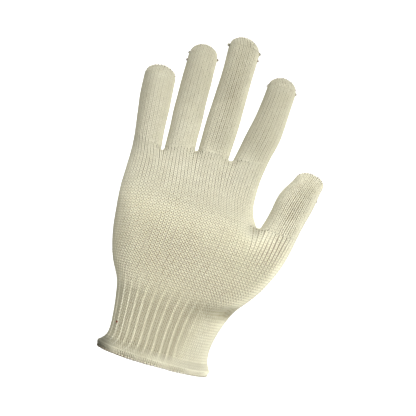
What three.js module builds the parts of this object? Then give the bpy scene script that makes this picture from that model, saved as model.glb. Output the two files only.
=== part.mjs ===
// A seamless string knit glove in its worn shape, seen from the palm, its thumb on the right.
// Millimetres, +Z up to the fingertips, +X to the thumb side, -Y the palm side.
// The origin is the middle of the wrist opening, at the lower edge of the hem.
// One control cage follows the outline of the glove; a subdivision surface rounds it, and each
// knitted section of the glove is a hollow wall cut from that surface.
import * as THREE from "three";

// Walls, and the gap left where one knitted section meets the next.
const KNIT_WALL = 1.6;
const HEM_WALL = 2.6;
const SECTION_GAP = 0.3;

// Wales, the columns of stitches, between two neighbouring columns of the cage.
const SIDE_WALES = 4;
const FINGER_WALES = 4;
const WEB_WALES = 3;
const THUMB_WEB_WALES = 3;

// A round digit has this many spaces between cage columns on its palm side.
const DIGIT_SPACES = 4;
const DIGIT_NAMES = ["little_finger", "ring_finger", "middle_finger", "index_finger"];

// A section is a closed curve between its left and right edge points. palm and back are how far
// it bulges to each side of the line between them, and square is 2 for an ellipse, more for a box.
const SECTION = ["leftX", "leftZ", "rightX", "rightZ", "leftY", "rightY", "palm", "back", "square"];

// Hem and cuff, from the wrist opening up.
const HEM = table(SECTION, [
  [-42.0, -0.6, 37.6, 0, 0, 0, 24.4, 24.4, 2.1],
  [-43.4, 3.4, 39.4, 3.6, 0, 0, 25.0, 25.0, 2.1],
]);
const CUFF = table(SECTION, [
  [-38.6, 9.4, 36.4, 9.6, 0, 0, 22.4, 22.2, 2.1],
  [-38.5, 24.0, 36.4, 24.0, 0, 0, 22.0, 21.6, 2.1],
]);

// Palm below the thumb, which holds the root of the thumb too.
const LOWER_PALM = table(SECTION, [
  [-41.6, 44.5, 42.6, 45.0, 0, -1, 22.4, 20.4, 2.15],
  [-48.4, 59.0, 51.6, 58.5, 0, -4, 22.2, 19.4, 2.25],
  [-54.8, 77.5, 61.4, 75.0, 0, -7, 20.0, 18.8, 2.35],
  [-58.0, 99.0, 69.0, 96.0, 0, -8, 17.2, 18.2, 2.35],
]);

// Palm above the thumb, from the thumb's crotch to just under the fingers.
const UPPER_PALM = table(SECTION, [
  [-59.3, 118.0, 41.8, 112.6, 0, -3, 15.6, 16.6, 2.4],
  [-59.0, 137.0, 36.0, 128.0, 0, -1, 14.2, 14.8, 2.6],
]);

// Digits, from the crotch to where the round tip starts.
const DIGITS = {
  little_finger: table(SECTION, [
    [-60.4, 153.0, -38.6, 147.6, -0.5, -0.5, 10.4, 10.4, 2.5],
    [-62.6, 168.0, -40.2, 167.0, -1.8, -1.8, 9.8, 9.4, 2.15],
    [-64.4, 182.0, -41.2, 182.0, -3.4, -3.4, 9.6, 9.0, 2.1],
    [-65.1, 194.2, -42.2, 194.2, -5.5, -5.5, 9.2, 8.4, 2.1],
  ]),
  ring_finger: table(SECTION, [
    [-36.8, 148.4, -15.2, 153.8, -0.5, -0.5, 11.0, 11.0, 2.5],
    [-37.9, 171.0, -15.8, 171.0, -1.8, -1.8, 10.2, 9.8, 2.15],
    [-38.6, 193.0, -17.0, 193.0, -3.4, -3.4, 9.8, 9.4, 2.1],
    [-38.9, 215.0, -17.7, 215.0, -6.5, -6.5, 9.0, 8.4, 2.1],
  ]),
  middle_finger: table(SECTION, [
    [-13.2, 153.8, 9.8, 153.6, -0.5, -0.5, 11.4, 11.4, 2.5],
    [-13.6, 176.0, 10.5, 176.0, -2.0, -2.0, 10.4, 10.0, 2.15],
    [-12.6, 201.0, 9.8, 201.0, -4.4, -4.4, 10.0, 9.6, 2.1],
    [-13.0, 227.0, 9.8, 227.0, -8, -8, 9.0, 8.6, 2.1],
  ]),
  index_finger: table(SECTION, [
    [12.8, 153.6, 37.4, 156.0, -0.5, -0.5, 11.2, 11.2, 2.5],
    [16.3, 173.0, 40.8, 173.0, -1.8, -1.8, 10.4, 10.0, 2.15],
    [19.6, 191.0, 41.9, 191.0, -3.4, -3.4, 9.8, 9.4, 2.1],
    [21.0, 208.4, 42.4, 208.4, -6, -6, 9.2, 8.6, 2.1],
  ]),
  thumb: table(SECTION, [
    [45.4, 113.0, 71.6, 111.0, -5, -9, 12.4, 12.4, 2.4],
    [48.6, 127.0, 74.0, 123.5, -8, -11, 11.8, 11.6, 2.2],
    [51.0, 139.5, 76.6, 136.0, -11, -13, 11.2, 10.8, 2.1],
    [56.4, 150.0, 77.8, 146.5, -13, -15, 10.4, 9.8, 2.1],
  ]),
};

// How high the round tip rises over the last section, and how square its outline is.
const TIPS = {
  little_finger: { rise: 9.0, lean: 0, square: 2.0 },
  ring_finger: { rise: 10.6, lean: 0, square: 2.1 },
  middle_finger: { rise: 10.9, lean: -1.2, square: 2.1 },
  index_finger: { rise: 10.0, lean: -0.2, square: 2.0 },
  thumb: { rise: 10.4, lean: 1.6, square: 2.4 },
};

// The tip closes in two cage rows and a seam: each row turns this far from the last section,
// and its side edges climb this far round the outline.
const TIP_ROWS = [
  { turn: 38, climb: 13 },
  { turn: 66, climb: 25 },
];

// The dent on the palm side where the root of the thumb folds against the cuff: its ends in X and
// Z, how deep it is at the right end, and how far from its line it still shows.
const FOLD = { from: [16, 44], to: [45, 46], depth: 2.2, reach: 6.5 };

// Rounds that move the cage until its surface runs through the sections.
const FIT_ROUNDS = 16;

// One object for each row, with the columns as its keys.
function table(columns, rows) {
  return rows.map((row) => Object.fromEntries(columns.map((name, i) => [name, row[i]])));
}

// The cage: points, and four-sided faces that each belong to one section of the glove.
const cage = { points: [], faces: [] };

function addPoint(point) {
  cage.points.push(point);
  return cage.points.length - 1;
}

function addFace(section, ...corners) {
  cage.faces.push({ section, corners });
}

// Half of a section from its left to its right edge, on the palm side or the back.
function halfCurve(row, side) {
  const left = new THREE.Vector3(row.leftX, row.leftY, row.leftZ);
  const right = new THREE.Vector3(row.rightX, row.rightY, row.rightZ);
  const bulge = side === "palm" ? -row.palm : row.back;
  const steps = 48;
  const points = [];
  for (let i = 0; i <= steps; i++) {
    const angle = (Math.PI * i) / steps;
    const cosine = Math.cos(angle);
    const across = Math.sign(cosine) * Math.abs(cosine) ** (2 / row.square);
    const out = Math.sin(angle) ** (2 / row.square);
    const point = left.clone().lerp(right, (1 - across) / 2);
    point.y += bulge * out;
    points.push(point);
  }
  return new THREE.CatmullRomCurve3(points);
}

// Points of a half section at these shares of its length.
function pointsAt(row, side, shares) {
  const curve = halfCurve(row, side);
  return shares.map((share) => curve.getPointAt(share));
}

// Shares of the half section at which the cage columns stand, from the wales between them.
function sharesOf(wales) {
  const total = wales.reduce((sum, n) => sum + n, 0);
  let run = 0;
  return wales.slice(0, -1).map((n) => (run += n) / total);
}

// A ring of the cage: its two edge points, and its columns on each side from left to right.
function addRing(row, shares) {
  const edge = (x, y, z) => addPoint(new THREE.Vector3(x, y, z));
  return {
    left: edge(row.leftX, row.leftY, row.leftZ),
    right: edge(row.rightX, row.rightY, row.rightZ),
    palm: pointsAt(row, "palm", shares).map(addPoint),
    back: pointsAt(row, "back", shares).map(addPoint),
  };
}

// The ring's points in order, counter-clockwise seen from the fingertips.
function around(ring) {
  return [ring.left, ...ring.palm, ring.right, ...ring.back.slice().reverse()];
}

function addTube(section, lower, upper) {
  const [below, above] = [around(lower), around(upper)];
  below.forEach((point, i) => {
    const next = (i + 1) % below.length;
    addFace(section, point, below[next], above[next], above[i]);
  });
}

// The strip of cloth between two neighbouring digits, from the palm side over to the back.
function addWeb(section, leftRing, rightRing) {
  const [palmLeft, backLeft] = [leftRing.palm.at(-1), leftRing.back.at(-1)];
  const [palmRight, backRight] = [rightRing.palm[0], rightRing.back[0]];
  addFace(section, palmLeft, palmRight, rightRing.left, leftRing.right);
  addFace(section, leftRing.right, rightRing.left, backRight, backLeft);
}

// A round, closed tip: cage rows that turn over from the palm side to the back, and a seam.
function addTip(section, row, lower, tip) {
  const left = new THREE.Vector3(row.leftX, row.leftY, row.leftZ);
  const right = new THREE.Vector3(row.rightX, row.rightY, row.rightZ);
  const middle = left.clone().add(right).multiplyScalar(0.5);
  const half = right.clone().sub(middle);
  const width = half.length();
  const up = new THREE.Vector3(-half.z, 0, half.x).normalize();
  const onOutline = (across) => {
    const height = (1 - Math.abs(across) ** tip.square) ** (1 / tip.square);
    return middle.clone().addScaledVector(half, across)
      .addScaledVector(up, tip.rise * height)
      .addScaledVector(half, (tip.lean * height) / width);
  };
  const acrossOf = (id) => cage.points[id].clone().sub(middle).dot(half) / (width * width);
  // A point on its way from the last section to the outline, as the row turns over.
  const turned = (id, degrees) => {
    const angle = THREE.MathUtils.degToRad(degrees);
    const flat = middle.clone().addScaledVector(half, acrossOf(id));
    const outward = cage.points[id].clone().sub(flat);
    const rise = onOutline(acrossOf(id)).sub(flat);
    return addPoint(flat.addScaledVector(outward, Math.cos(angle)).addScaledVector(rise, Math.sin(angle)));
  };
  const climbed = (degrees, side) => {
    const across = side * Math.cos(THREE.MathUtils.degToRad(degrees));
    return addPoint(onOutline(across));
  };
  let ring = lower;
  for (const { turn, climb } of TIP_ROWS) {
    const next = {
      left: climbed(climb, -1),
      right: climbed(climb, 1),
      palm: lower.palm.map((id) => turned(id, turn)),
      back: lower.back.map((id) => turned(id, turn)),
    };
    addTube(section, ring, next);
    ring = next;
  }
  const seam = lower.palm.map((id, i) => {
    const across = (acrossOf(id) + acrossOf(lower.back[i])) / 2;
    return addPoint(onOutline(across));
  });
  for (let i = 0; i + 1 < seam.length; i++) {
    addFace(section, ring.palm[i], ring.palm[i + 1], seam[i + 1], seam[i]);
    addFace(section, ring.back[i + 1], ring.back[i], seam[i], seam[i + 1]);
  }
  addFace(section, ring.left, ring.palm[0], seam[0], ring.back[0]);
  addFace(section, ring.right, ring.back.at(-1), seam.at(-1), ring.palm.at(-1));
}

// A digit from its base ring to its tip.
function addDigit(section, base, rows) {
  const shares = digitShares();
  let ring = base;
  for (const row of rows.slice(1)) {
    const next = addRing(row, shares);
    addTube(section, ring, next);
    ring = next;
  }
  addTip(section, rows.at(-1), ring, TIPS[section]);
}

function digitShares() {
  return sharesOf(Array(DIGIT_SPACES).fill(FINGER_WALES));
}

// Wales between the cage columns of the palm, from the little finger's edge.
function palmWales(withThumb) {
  const digit = Array(DIGIT_SPACES - 2).fill(FINGER_WALES);
  const wales = [SIDE_WALES];
  DIGIT_NAMES.forEach((name, i) => wales.push(...(i ? [WEB_WALES] : []), ...digit));
  if (withThumb) wales.push(THUMB_WEB_WALES, ...digit);
  return [...wales, SIDE_WALES];
}

function buildCage() {
  const wideShares = sharesOf(palmWales(true));
  const narrowShares = sharesOf(palmWales(false));

  // Wrist to thumb crotch: rings as wide as palm and thumb together.
  let ring = addRing(HEM[0], wideShares);
  const stack = [
    ...HEM.slice(1).map((row) => ["hem", row]),
    ["hem", CUFF[0]],
    ["cuff", CUFF[1]],
    ["cuff", LOWER_PALM[0]],
    ...LOWER_PALM.slice(1).map((row) => ["lower_palm", row]),
  ];
  for (const [section, row] of stack) {
    const next = addRing(row, wideShares);
    addTube(section, ring, next);
    ring = next;
  }

  // The crotch row, where the wide ring divides into the palm and the thumb.
  const palmRing = addRing(UPPER_PALM[0], narrowShares);
  const thumbRing = addRing(DIGITS.thumb[0], digitShares());
  addTube("lower_palm", ring, {
    left: palmRing.left,
    right: thumbRing.right,
    palm: [...palmRing.palm, ...thumbRing.palm],
    back: [...palmRing.back, ...thumbRing.back],
  });
  addWeb("lower_palm", palmRing, thumbRing);
  addDigit("thumb", thumbRing, DIGITS.thumb);

  // Thumb crotch to finger crotches.
  ring = palmRing;
  for (const row of UPPER_PALM.slice(1)) {
    const next = addRing(row, narrowShares);
    addTube("upper_palm", ring, next);
    ring = next;
  }
  const bases = DIGIT_NAMES.map((name) => addRing(DIGITS[name][0], digitShares()));
  addTube("upper_palm", ring, {
    left: bases[0].left,
    right: bases.at(-1).right,
    palm: bases.flatMap((base) => base.palm),
    back: bases.flatMap((base) => base.back),
  });
  bases.slice(1).forEach((base, i) => addWeb("upper_palm", bases[i], base));
  DIGIT_NAMES.forEach((name, i) => addDigit(name, bases[i], DIGITS[name]));
}

// For each point its neighbours along edges and across faces, and which of them lie on an edge.
function neighbours(mesh) {
  const near = mesh.points.map(() => ({ edges: new Map(), diagonals: [] }));
  for (const { corners } of mesh.faces) {
    corners.forEach((id, i) => {
      const previous = corners[(i + 3) % 4];
      const next = corners[(i + 1) % 4];
      near[id].diagonals.push(corners[(i + 2) % 4]);
      for (const other of [previous, next]) {
        near[id].edges.set(other, (near[id].edges.get(other) ?? 0) + 1);
      }
    });
  }
  return near;
}

// Where each point of a mesh comes to lie when it is subdivided for ever.
function limitPoints(mesh) {
  const near = neighbours(mesh);
  return mesh.points.map((point, id) => {
    const { edges, diagonals } = near[id];
    const rim = [...edges].filter(([, faces]) => faces === 1).map(([other]) => other);
    const sum = new THREE.Vector3();
    if (rim.length) {
      rim.forEach((other) => sum.add(mesh.points[other]));
      return sum.addScaledVector(point, 4).divideScalar(6);
    }
    const n = edges.size;
    [...edges.keys()].forEach((other) => sum.addScaledVector(mesh.points[other], 4));
    diagonals.forEach((other) => sum.add(mesh.points[other]));
    return sum.addScaledVector(point, n * n).divideScalar(n * (n + 5));
  });
}

// Moves the cage so that its surface passes through the points as they were given.
function fitToSections(mesh) {
  const targets = mesh.points.map((point) => point.clone());
  for (let round = 0; round < FIT_ROUNDS; round++) {
    limitPoints(mesh).forEach((point, i) => mesh.points[i].add(targets[i]).sub(point));
  }
}

// One round of Catmull-Clark subdivision.
function subdivide(mesh) {
  const near = neighbours(mesh);
  const points = mesh.points.map(() => null);
  const centres = mesh.faces.map(({ corners }) => {
    const centre = new THREE.Vector3();
    corners.forEach((id) => centre.add(mesh.points[id]));
    return points.push(centre.divideScalar(corners.length)) - 1;
  });
  const edges = new Map();
  const edgeKey = (a, b) => (a < b ? `${a},${b}` : `${b},${a}`);
  mesh.faces.forEach(({ corners }, face) => {
    corners.forEach((id, i) => {
      const key = edgeKey(id, corners[(i + 1) % 4]);
      if (!edges.has(key)) edges.set(key, { ends: [id, corners[(i + 1) % 4]], faces: [] });
      edges.get(key).faces.push(face);
    });
  });
  for (const edge of edges.values()) {
    const middle = new THREE.Vector3();
    edge.ends.forEach((id) => middle.addScaledVector(mesh.points[id], 0.5));
    if (edge.faces.length === 2) {
      middle.multiplyScalar(2);
      edge.faces.forEach((face) => middle.add(points[centres[face]]));
      middle.divideScalar(4);
    }
    edge.point = points.push(middle) - 1;
  }
  const facesOf = mesh.points.map(() => []);
  mesh.faces.forEach(({ corners }, face) => corners.forEach((id) => facesOf[id].push(face)));
  mesh.points.forEach((point, id) => {
    const ends = [...near[id].edges];
    const rim = ends.filter(([, faces]) => faces === 1).map(([other]) => other);
    const moved = new THREE.Vector3();
    if (rim.length) {
      rim.forEach((other) => moved.add(mesh.points[other]));
      points[id] = moved.addScaledVector(point, 6).divideScalar(8);
      return;
    }
    const n = ends.length;
    facesOf[id].forEach((face) => moved.addScaledVector(points[centres[face]], 1 / n));
    ends.forEach(([other]) => moved.addScaledVector(mesh.points[other], 1 / n).addScaledVector(point, 1 / n));
    points[id] = moved.addScaledVector(point, n - 3).divideScalar(n);
  });
  const faces = [];
  mesh.faces.forEach(({ section, corners }, face) => {
    corners.forEach((id, i) => {
      const next = edges.get(edgeKey(id, corners[(i + 1) % 4])).point;
      const previous = edges.get(edgeKey(corners[(i + 3) % 4], id)).point;
      faces.push({ section, corners: [id, next, centres[face], previous] });
    });
  });
  return { points, faces };
}

// The outward normal at each point, from the faces round it.
function normals(mesh) {
  const sums = mesh.points.map(() => new THREE.Vector3());
  for (const { corners } of mesh.faces) {
    const [a, b, c, d] = corners.map((id) => mesh.points[id]);
    const normal = c.clone().sub(a).cross(d.clone().sub(b));
    corners.forEach((id) => sums[id].add(normal));
  }
  return sums.map((sum) => sum.normalize());
}

// Presses the fold in, along the normals of the palm side.
function pressFold(mesh, outward) {
  const start = new THREE.Vector2(...FOLD.from);
  const line = new THREE.Vector2(...FOLD.to).sub(start);
  mesh.points.forEach((point, i) => {
    if (outward[i].y >= 0) return;
    const offset = new THREE.Vector2(point.x, point.z).sub(start);
    const share = THREE.MathUtils.clamp(offset.dot(line) / line.lengthSq(), 0, 1);
    const distance = offset.sub(line.clone().multiplyScalar(share)).length() / FOLD.reach;
    if (distance < 1) point.addScaledVector(outward[i], -FOLD.depth * share * (1 - distance ** 2) ** 2);
  });
}

// The wall of one section: its outer face, the same face moved in by the wall, and its rims.
function wallGeometry(mesh, outward, section, wall) {
  const faces = mesh.faces.filter((face) => face.section === section);
  const sides = new Map();
  const edgeKey = (a, b) => `${a},${b}`;
  faces.forEach(({ corners }) => corners.forEach((id, i) => {
    sides.set(edgeKey(id, corners[(i + 1) % 4]), [id, corners[(i + 1) % 4]]);
  }));
  const rims = [...sides.values()].filter(([a, b]) => !sides.has(edgeKey(b, a)));
  const onRim = new Set(rims.flat());
  const shared = new Set(mesh.faces.filter((face) => face.section !== section)
    .flatMap(({ corners }) => corners).filter((id) => onRim.has(id)));

  // A rim that meets another section stands back by half the gap, along the cloth.
  const inward = new Map([...shared].map((id) => [id, new THREE.Vector3()]));
  for (const { corners } of faces) {
    const centre = new THREE.Vector3();
    corners.forEach((id) => centre.addScaledVector(mesh.points[id], 1 / 4));
    corners.filter((id) => inward.has(id))
      .forEach((id) => inward.get(id).add(centre).sub(mesh.points[id]));
  }
  const outer = (id) => {
    const point = mesh.points[id].clone();
    if (!inward.has(id)) return point;
    const along = inward.get(id).clone();
    along.addScaledVector(outward[id], -along.dot(outward[id])).normalize();
    return point.addScaledVector(along, SECTION_GAP / 2);
  };

  const used = [...new Set(faces.flatMap(({ corners }) => corners))];
  const place = new Map(used.map((id, i) => [id, i]));
  const positions = [
    ...used.map(outer),
    ...used.map((id) => outer(id).addScaledVector(outward[id], -wall)),
  ].flatMap((point) => point.toArray());
  const index = [];
  const quad = (a, b, c, d) => index.push(a, b, c, a, c, d);
  const inner = (id) => place.get(id) + used.length;
  for (const { corners } of faces) {
    const [a, b, c, d] = corners;
    quad(...[a, b, c, d].map((id) => place.get(id)));
    quad(...[d, c, b, a].map(inner));
  }
  rims.forEach(([a, b]) => quad(place.get(b), place.get(a), inner(a), inner(b)));
  const geometry = new THREE.BufferGeometry();
  geometry.setAttribute("position", new THREE.Float32BufferAttribute(positions, 3));
  geometry.setIndex(index);
  geometry.computeVertexNormals();
  return geometry;
}

const yarn = new THREE.MeshStandardMaterial({ color: "#e0dcc0", roughness: 0.95, metalness: 0 });
const overcast = new THREE.MeshStandardMaterial({ color: "#dcd9c2", roughness: 0.95, metalness: 0 });
const SECTIONS = {
  hem: { wall: HEM_WALL, material: overcast },
  cuff: { wall: KNIT_WALL, material: yarn },
  lower_palm: { wall: KNIT_WALL, material: yarn },
  upper_palm: { wall: KNIT_WALL, material: yarn },
  thumb: { wall: KNIT_WALL, material: yarn },
  ...Object.fromEntries(DIGIT_NAMES.map((name) => [name, { wall: KNIT_WALL, material: yarn }])),
};

buildCage();
fitToSections(cage);
const surface = subdivide(cage);
surface.points = limitPoints(surface);
pressFold(surface, normals(surface));
const outward = normals(surface);

const glove = new THREE.Group();
for (const [section, { wall, material }] of Object.entries(SECTIONS)) {
  const mesh = new THREE.Mesh(wallGeometry(surface, outward, section, wall), material);
  mesh.name = section;
  glove.add(mesh);
}

export default glove;
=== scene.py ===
"""Looks of the string knit glove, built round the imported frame.

Everything is in the row's frame: +Z to the fingertips, +X to the thumb side, -Y out of the palm.
Sizes are in millimetres until a mesh is made, which is in metres. A control cage repeats the
outline of the solids. Its subdivided skin carries a chart of wales and courses, the columns and
rows of the knit, and geometry nodes lay one stitch on each cell of that chart.
"""

from __future__ import annotations

import logging
import math
from dataclasses import dataclass, field
from enum import Enum

import bpy
import numpy as np
from mathutils import Matrix, Vector, noise


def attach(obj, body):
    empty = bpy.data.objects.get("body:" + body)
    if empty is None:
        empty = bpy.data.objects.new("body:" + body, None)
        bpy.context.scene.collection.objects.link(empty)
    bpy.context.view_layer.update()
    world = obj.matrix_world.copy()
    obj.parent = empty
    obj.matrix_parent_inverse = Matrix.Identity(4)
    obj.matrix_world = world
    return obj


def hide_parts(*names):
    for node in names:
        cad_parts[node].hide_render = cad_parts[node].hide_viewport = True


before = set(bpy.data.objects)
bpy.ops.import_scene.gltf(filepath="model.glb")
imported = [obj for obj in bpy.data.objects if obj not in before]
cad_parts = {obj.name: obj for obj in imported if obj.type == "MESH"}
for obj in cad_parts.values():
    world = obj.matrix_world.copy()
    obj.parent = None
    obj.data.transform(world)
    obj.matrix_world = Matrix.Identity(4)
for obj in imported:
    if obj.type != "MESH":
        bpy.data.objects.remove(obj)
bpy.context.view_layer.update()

log = logging.getLogger("glove")

MM = 0.001
BODY = "root"


class Part(Enum):
    """The knitted sections of the glove, by the name of their CAD node."""

    HEM = "hem"
    CUFF = "cuff"
    LOWER_PALM = "lower_palm"
    UPPER_PALM = "upper_palm"
    LITTLE = "little_finger"
    RING = "ring_finger"
    MIDDLE = "middle_finger"
    INDEX = "index_finger"
    THUMB = "thumb"


PARTS = list(Part)
FINGERS = [Part.LITTLE, Part.RING, Part.MIDDLE, Part.INDEX]
DIGIT_PARTS = [*FINGERS, Part.THUMB]
BODY_PARTS = [Part.HEM, Part.CUFF, Part.LOWER_PALM, Part.UPPER_PALM]

# Half a section is measured along so many points.
HALF_POINTS = 193


@dataclass(frozen=True)
class Row:
    """A closed section between its left and right edge points, in millimetres.

    palm and back are how far it bulges to each side; square is 2 for an ellipse.
    """

    left_x: float
    left_z: float
    right_x: float
    right_z: float
    left_y: float
    right_y: float
    palm: float
    back: float
    square: float

    def edges(self) -> tuple[Vector, Vector]:
        """Gives the edge points.

        Returns:
            The left and the right edge point.
        """
        left = Vector((self.left_x, self.left_y, self.left_z))
        right = Vector((self.right_x, self.right_y, self.right_z))
        return left, right

    def half(self, side: int, shares: list[float]) -> list[Vector]:
        """Places points along one half of the section.

        Args:
            side: -1 for the palm side, 1 for the back.
            shares: shares of the half's length, from left to right.

        Returns:
            One point for each share.
        """
        left, right = self.edges()
        bulge = self.palm if side < 0 else self.back
        angles = np.linspace(0.0, math.pi, HALF_POINTS)
        cosine, sine = np.cos(angles), np.clip(np.sin(angles), 0.0, 1.0)
        across = np.sign(cosine) * np.abs(cosine) ** (2 / self.square)
        share = (1 - across) / 2
        points = np.outer(1 - share, np.array(left)) + np.outer(share, np.array(right))
        points[:, 1] += side * bulge * sine ** (2 / self.square)
        steps = np.linalg.norm(np.diff(points, axis=0), axis=1)
        run = np.concatenate(([0.0], np.cumsum(steps)))
        wanted = np.array(shares) * run[-1]
        return [Vector([np.interp(w, run, points[:, k]) for k in range(3)]) for w in wanted]


@dataclass(frozen=True)
class Tip:
    """How a digit's round end closes: its rise, its lean to the right and its squareness."""

    rise: float
    lean: float
    square: float


HEM = [
    Row(-42.0, -0.6, 37.6, 0.0, 0, 0, 24.4, 24.4, 2.1),
    Row(-43.4, 3.4, 39.4, 3.6, 0, 0, 25.0, 25.0, 2.1),
]
CUFF = [
    Row(-38.6, 9.4, 36.4, 9.6, 0, 0, 22.4, 22.2, 2.1),
    Row(-38.5, 24.0, 36.4, 24.0, 0, 0, 22.0, 21.6, 2.1),
]
LOWER_PALM = [
    Row(-41.6, 44.5, 42.6, 45.0, 0, -1, 22.4, 20.4, 2.15),
    Row(-48.4, 59.0, 51.6, 58.5, 0, -4, 22.2, 19.4, 2.25),
    Row(-54.8, 77.5, 61.4, 75.0, 0, -7, 20.0, 18.8, 2.35),
    Row(-58.0, 99.0, 69.0, 96.0, 0, -8, 17.2, 18.2, 2.35),
]
UPPER_PALM = [
    Row(-59.3, 118.0, 41.8, 112.6, 0, -3, 15.6, 16.6, 2.4),
    Row(-59.0, 137.0, 36.0, 128.0, 0, -1, 14.2, 14.8, 2.6),
]
DIGITS = {
    Part.LITTLE: [
        Row(-60.4, 153.0, -38.6, 147.6, -0.5, -0.5, 10.4, 10.4, 2.5),
        Row(-62.6, 168.0, -40.2, 167.0, -1.8, -1.8, 9.8, 9.4, 2.15),
        Row(-64.4, 182.0, -41.2, 182.0, -3.4, -3.4, 9.6, 9.0, 2.1),
        Row(-65.1, 194.2, -42.2, 194.2, -5.5, -5.5, 9.2, 8.4, 2.1),
    ],
    Part.RING: [
        Row(-36.8, 148.4, -15.2, 153.8, -0.5, -0.5, 11.0, 11.0, 2.5),
        Row(-37.9, 171.0, -15.8, 171.0, -1.8, -1.8, 10.2, 9.8, 2.15),
        Row(-38.6, 193.0, -17.0, 193.0, -3.4, -3.4, 9.8, 9.4, 2.1),
        Row(-38.9, 215.0, -17.7, 215.0, -6.5, -6.5, 9.0, 8.4, 2.1),
    ],
    Part.MIDDLE: [
        Row(-13.2, 153.8, 9.8, 153.6, -0.5, -0.5, 11.4, 11.4, 2.5),
        Row(-13.6, 176.0, 10.5, 176.0, -2.0, -2.0, 10.4, 10.0, 2.15),
        Row(-12.6, 201.0, 9.8, 201.0, -4.4, -4.4, 10.0, 9.6, 2.1),
        Row(-13.0, 227.0, 9.8, 227.0, -8, -8, 9.0, 8.6, 2.1),
    ],
    Part.INDEX: [
        Row(12.8, 153.6, 37.4, 156.0, -0.5, -0.5, 11.2, 11.2, 2.5),
        Row(16.3, 173.0, 40.8, 173.0, -1.8, -1.8, 10.4, 10.0, 2.15),
        Row(19.6, 191.0, 41.9, 191.0, -3.4, -3.4, 9.8, 9.4, 2.1),
        Row(21.0, 208.4, 42.4, 208.4, -6, -6, 9.2, 8.6, 2.1),
    ],
    Part.THUMB: [
        Row(45.4, 113.0, 71.6, 111.0, -5, -9, 12.4, 12.4, 2.4),
        Row(48.6, 127.0, 74.0, 123.5, -8, -11, 11.8, 11.6, 2.2),
        Row(51.0, 139.5, 76.6, 136.0, -11, -13, 11.2, 10.8, 2.1),
        Row(56.4, 150.0, 77.8, 146.5, -13, -15, 10.4, 9.8, 2.1),
    ],
}
TIPS = {
    Part.LITTLE: Tip(9.0, 0.0, 2.0),
    Part.RING: Tip(10.6, 0.0, 2.1),
    Part.MIDDLE: Tip(10.9, -1.2, 2.1),
    Part.INDEX: Tip(10.0, -0.2, 2.0),
    Part.THUMB: Tip(10.4, 1.6, 2.4),
}
# A tip's rows turn over by the first angle while their edges climb by the second.
TIP_ROWS = [(38.0, 13.0), (66.0, 25.0)]

# Widths of the spaces between the cage's columns, beside each other: next to a side edge, within
# a digit, and between two digits. Each side of a digit has so many spaces.
SIDE_SPACE = 4
FINGER_SPACE = 4
WEB_SPACE = 3
DIGIT_SPACES = 4
# The cage is fitted to its sections in so many rounds.
FIT_ROUNDS = 16

# Wales, the columns of stitches, round each section of the knit.
PALM_WALES = 108
FINGER_WALES = 26
THUMB_WALES = 28
# The strip between two digits is so many wales wide and so many courses from palm to back.
WEB_WALES = 5
WEB_COURSES = 14
# A course, a row of stitches, is this high at these heights over the wrist, in millimetres.
COURSE_AT = (0.0, 60.0, 90.0, 120.0, 240.0)
COURSE_HEIGHT = (2.0, 2.2, 2.18, 1.86, 1.78)

# The chart's cells are divided by this, after a margin, so that all of it lies in the unit square.
CHART_CELLS = 160.0
CHART_MARGIN = 8.0
# The strips between digits have patches of their own on it, from this row up and so far apart.
WEB_FIRST_ROW = 90.0
WEB_STRIDE = 10.0


@dataclass
class Ring:
    """A ring of the cage: its edge points and its columns on each side, left to right."""

    left: int
    right: int
    palm: list[int]
    back: list[int]

    def around(self) -> list[int]:
        """Gives all points in order, counter-clockwise seen from the fingertips."""
        return [self.left, *self.palm, self.right, *reversed(self.back)]


@dataclass
class Face:
    """A four-sided face of the cage, with its corners' places on the chart.

    A place is the wale and, until the skin counts the courses, the band of the cage.
    """

    part: Part
    corners: tuple[int, ...]
    cells: tuple[tuple[float, float], ...]


def palm_spaces(with_thumb: bool) -> list[int]:
    """Lists the spaces between the cage columns of half a palm ring.

    Args:
        with_thumb: whether the ring holds the root of the thumb too.

    Returns:
        The spaces from the little finger's edge.
    """
    digit = [FINGER_SPACE] * (DIGIT_SPACES - 2)
    spaces = [SIDE_SPACE, *digit]
    for _ in range(4 if with_thumb else 3):
        spaces += [WEB_SPACE, *digit]
    return [*spaces, SIDE_SPACE]


Span = tuple[float, float]


def spans_of(spaces: list[int], wales: float) -> list[Span]:
    """Finds the wales at which the faces between the columns of half a ring begin and end.

    Args:
        spaces: the spaces of half a ring.
        wales: the wales round the whole ring.

    Returns:
        A first and a last wale for each space.
    """
    run = [0.0, *np.cumsum(spaces) * wales / (2 * sum(spaces))]
    return list(zip(run, run[1:]))


def both_sides(spans: list[Span], wales: float) -> list[Span]:
    """Adds the back's spans to the palm's, in the order of Ring.around()."""
    return spans + [(wales - high, wales - low) for low, high in reversed(spans)]


def shares_of(spaces: list[int]) -> list[float]:
    """Gives the shares of a half ring's length at which its inner columns stand."""
    run = np.cumsum(spaces)
    return [w / run[-1] for w in run[:-1]]


class TipOutline:
    """The round end of a digit, seen from the palm."""

    def __init__(self, part: Part, row: Row) -> None:
        left, right = row.edges()
        self.tip = TIPS[part]
        self.middle = (left + right) / 2
        self.half = right - self.middle
        self.up = Vector((-self.half.z, 0.0, self.half.x)).normalized()

    def at(self, across: float) -> Vector:
        """Gives the outline's point at -1, the left edge, to 1, the right edge."""
        height = max(1 - abs(across) ** self.tip.square, 0.0) ** (1 / self.tip.square)
        aside = across + self.tip.lean * height / self.half.length
        return self.middle + self.half * aside + self.up * self.tip.rise * height

    def across(self, point: Vector) -> float:
        """Says how far a point lies from the middle, as a share of half the width."""
        return (point - self.middle).dot(self.half) / self.half.length_squared


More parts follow.
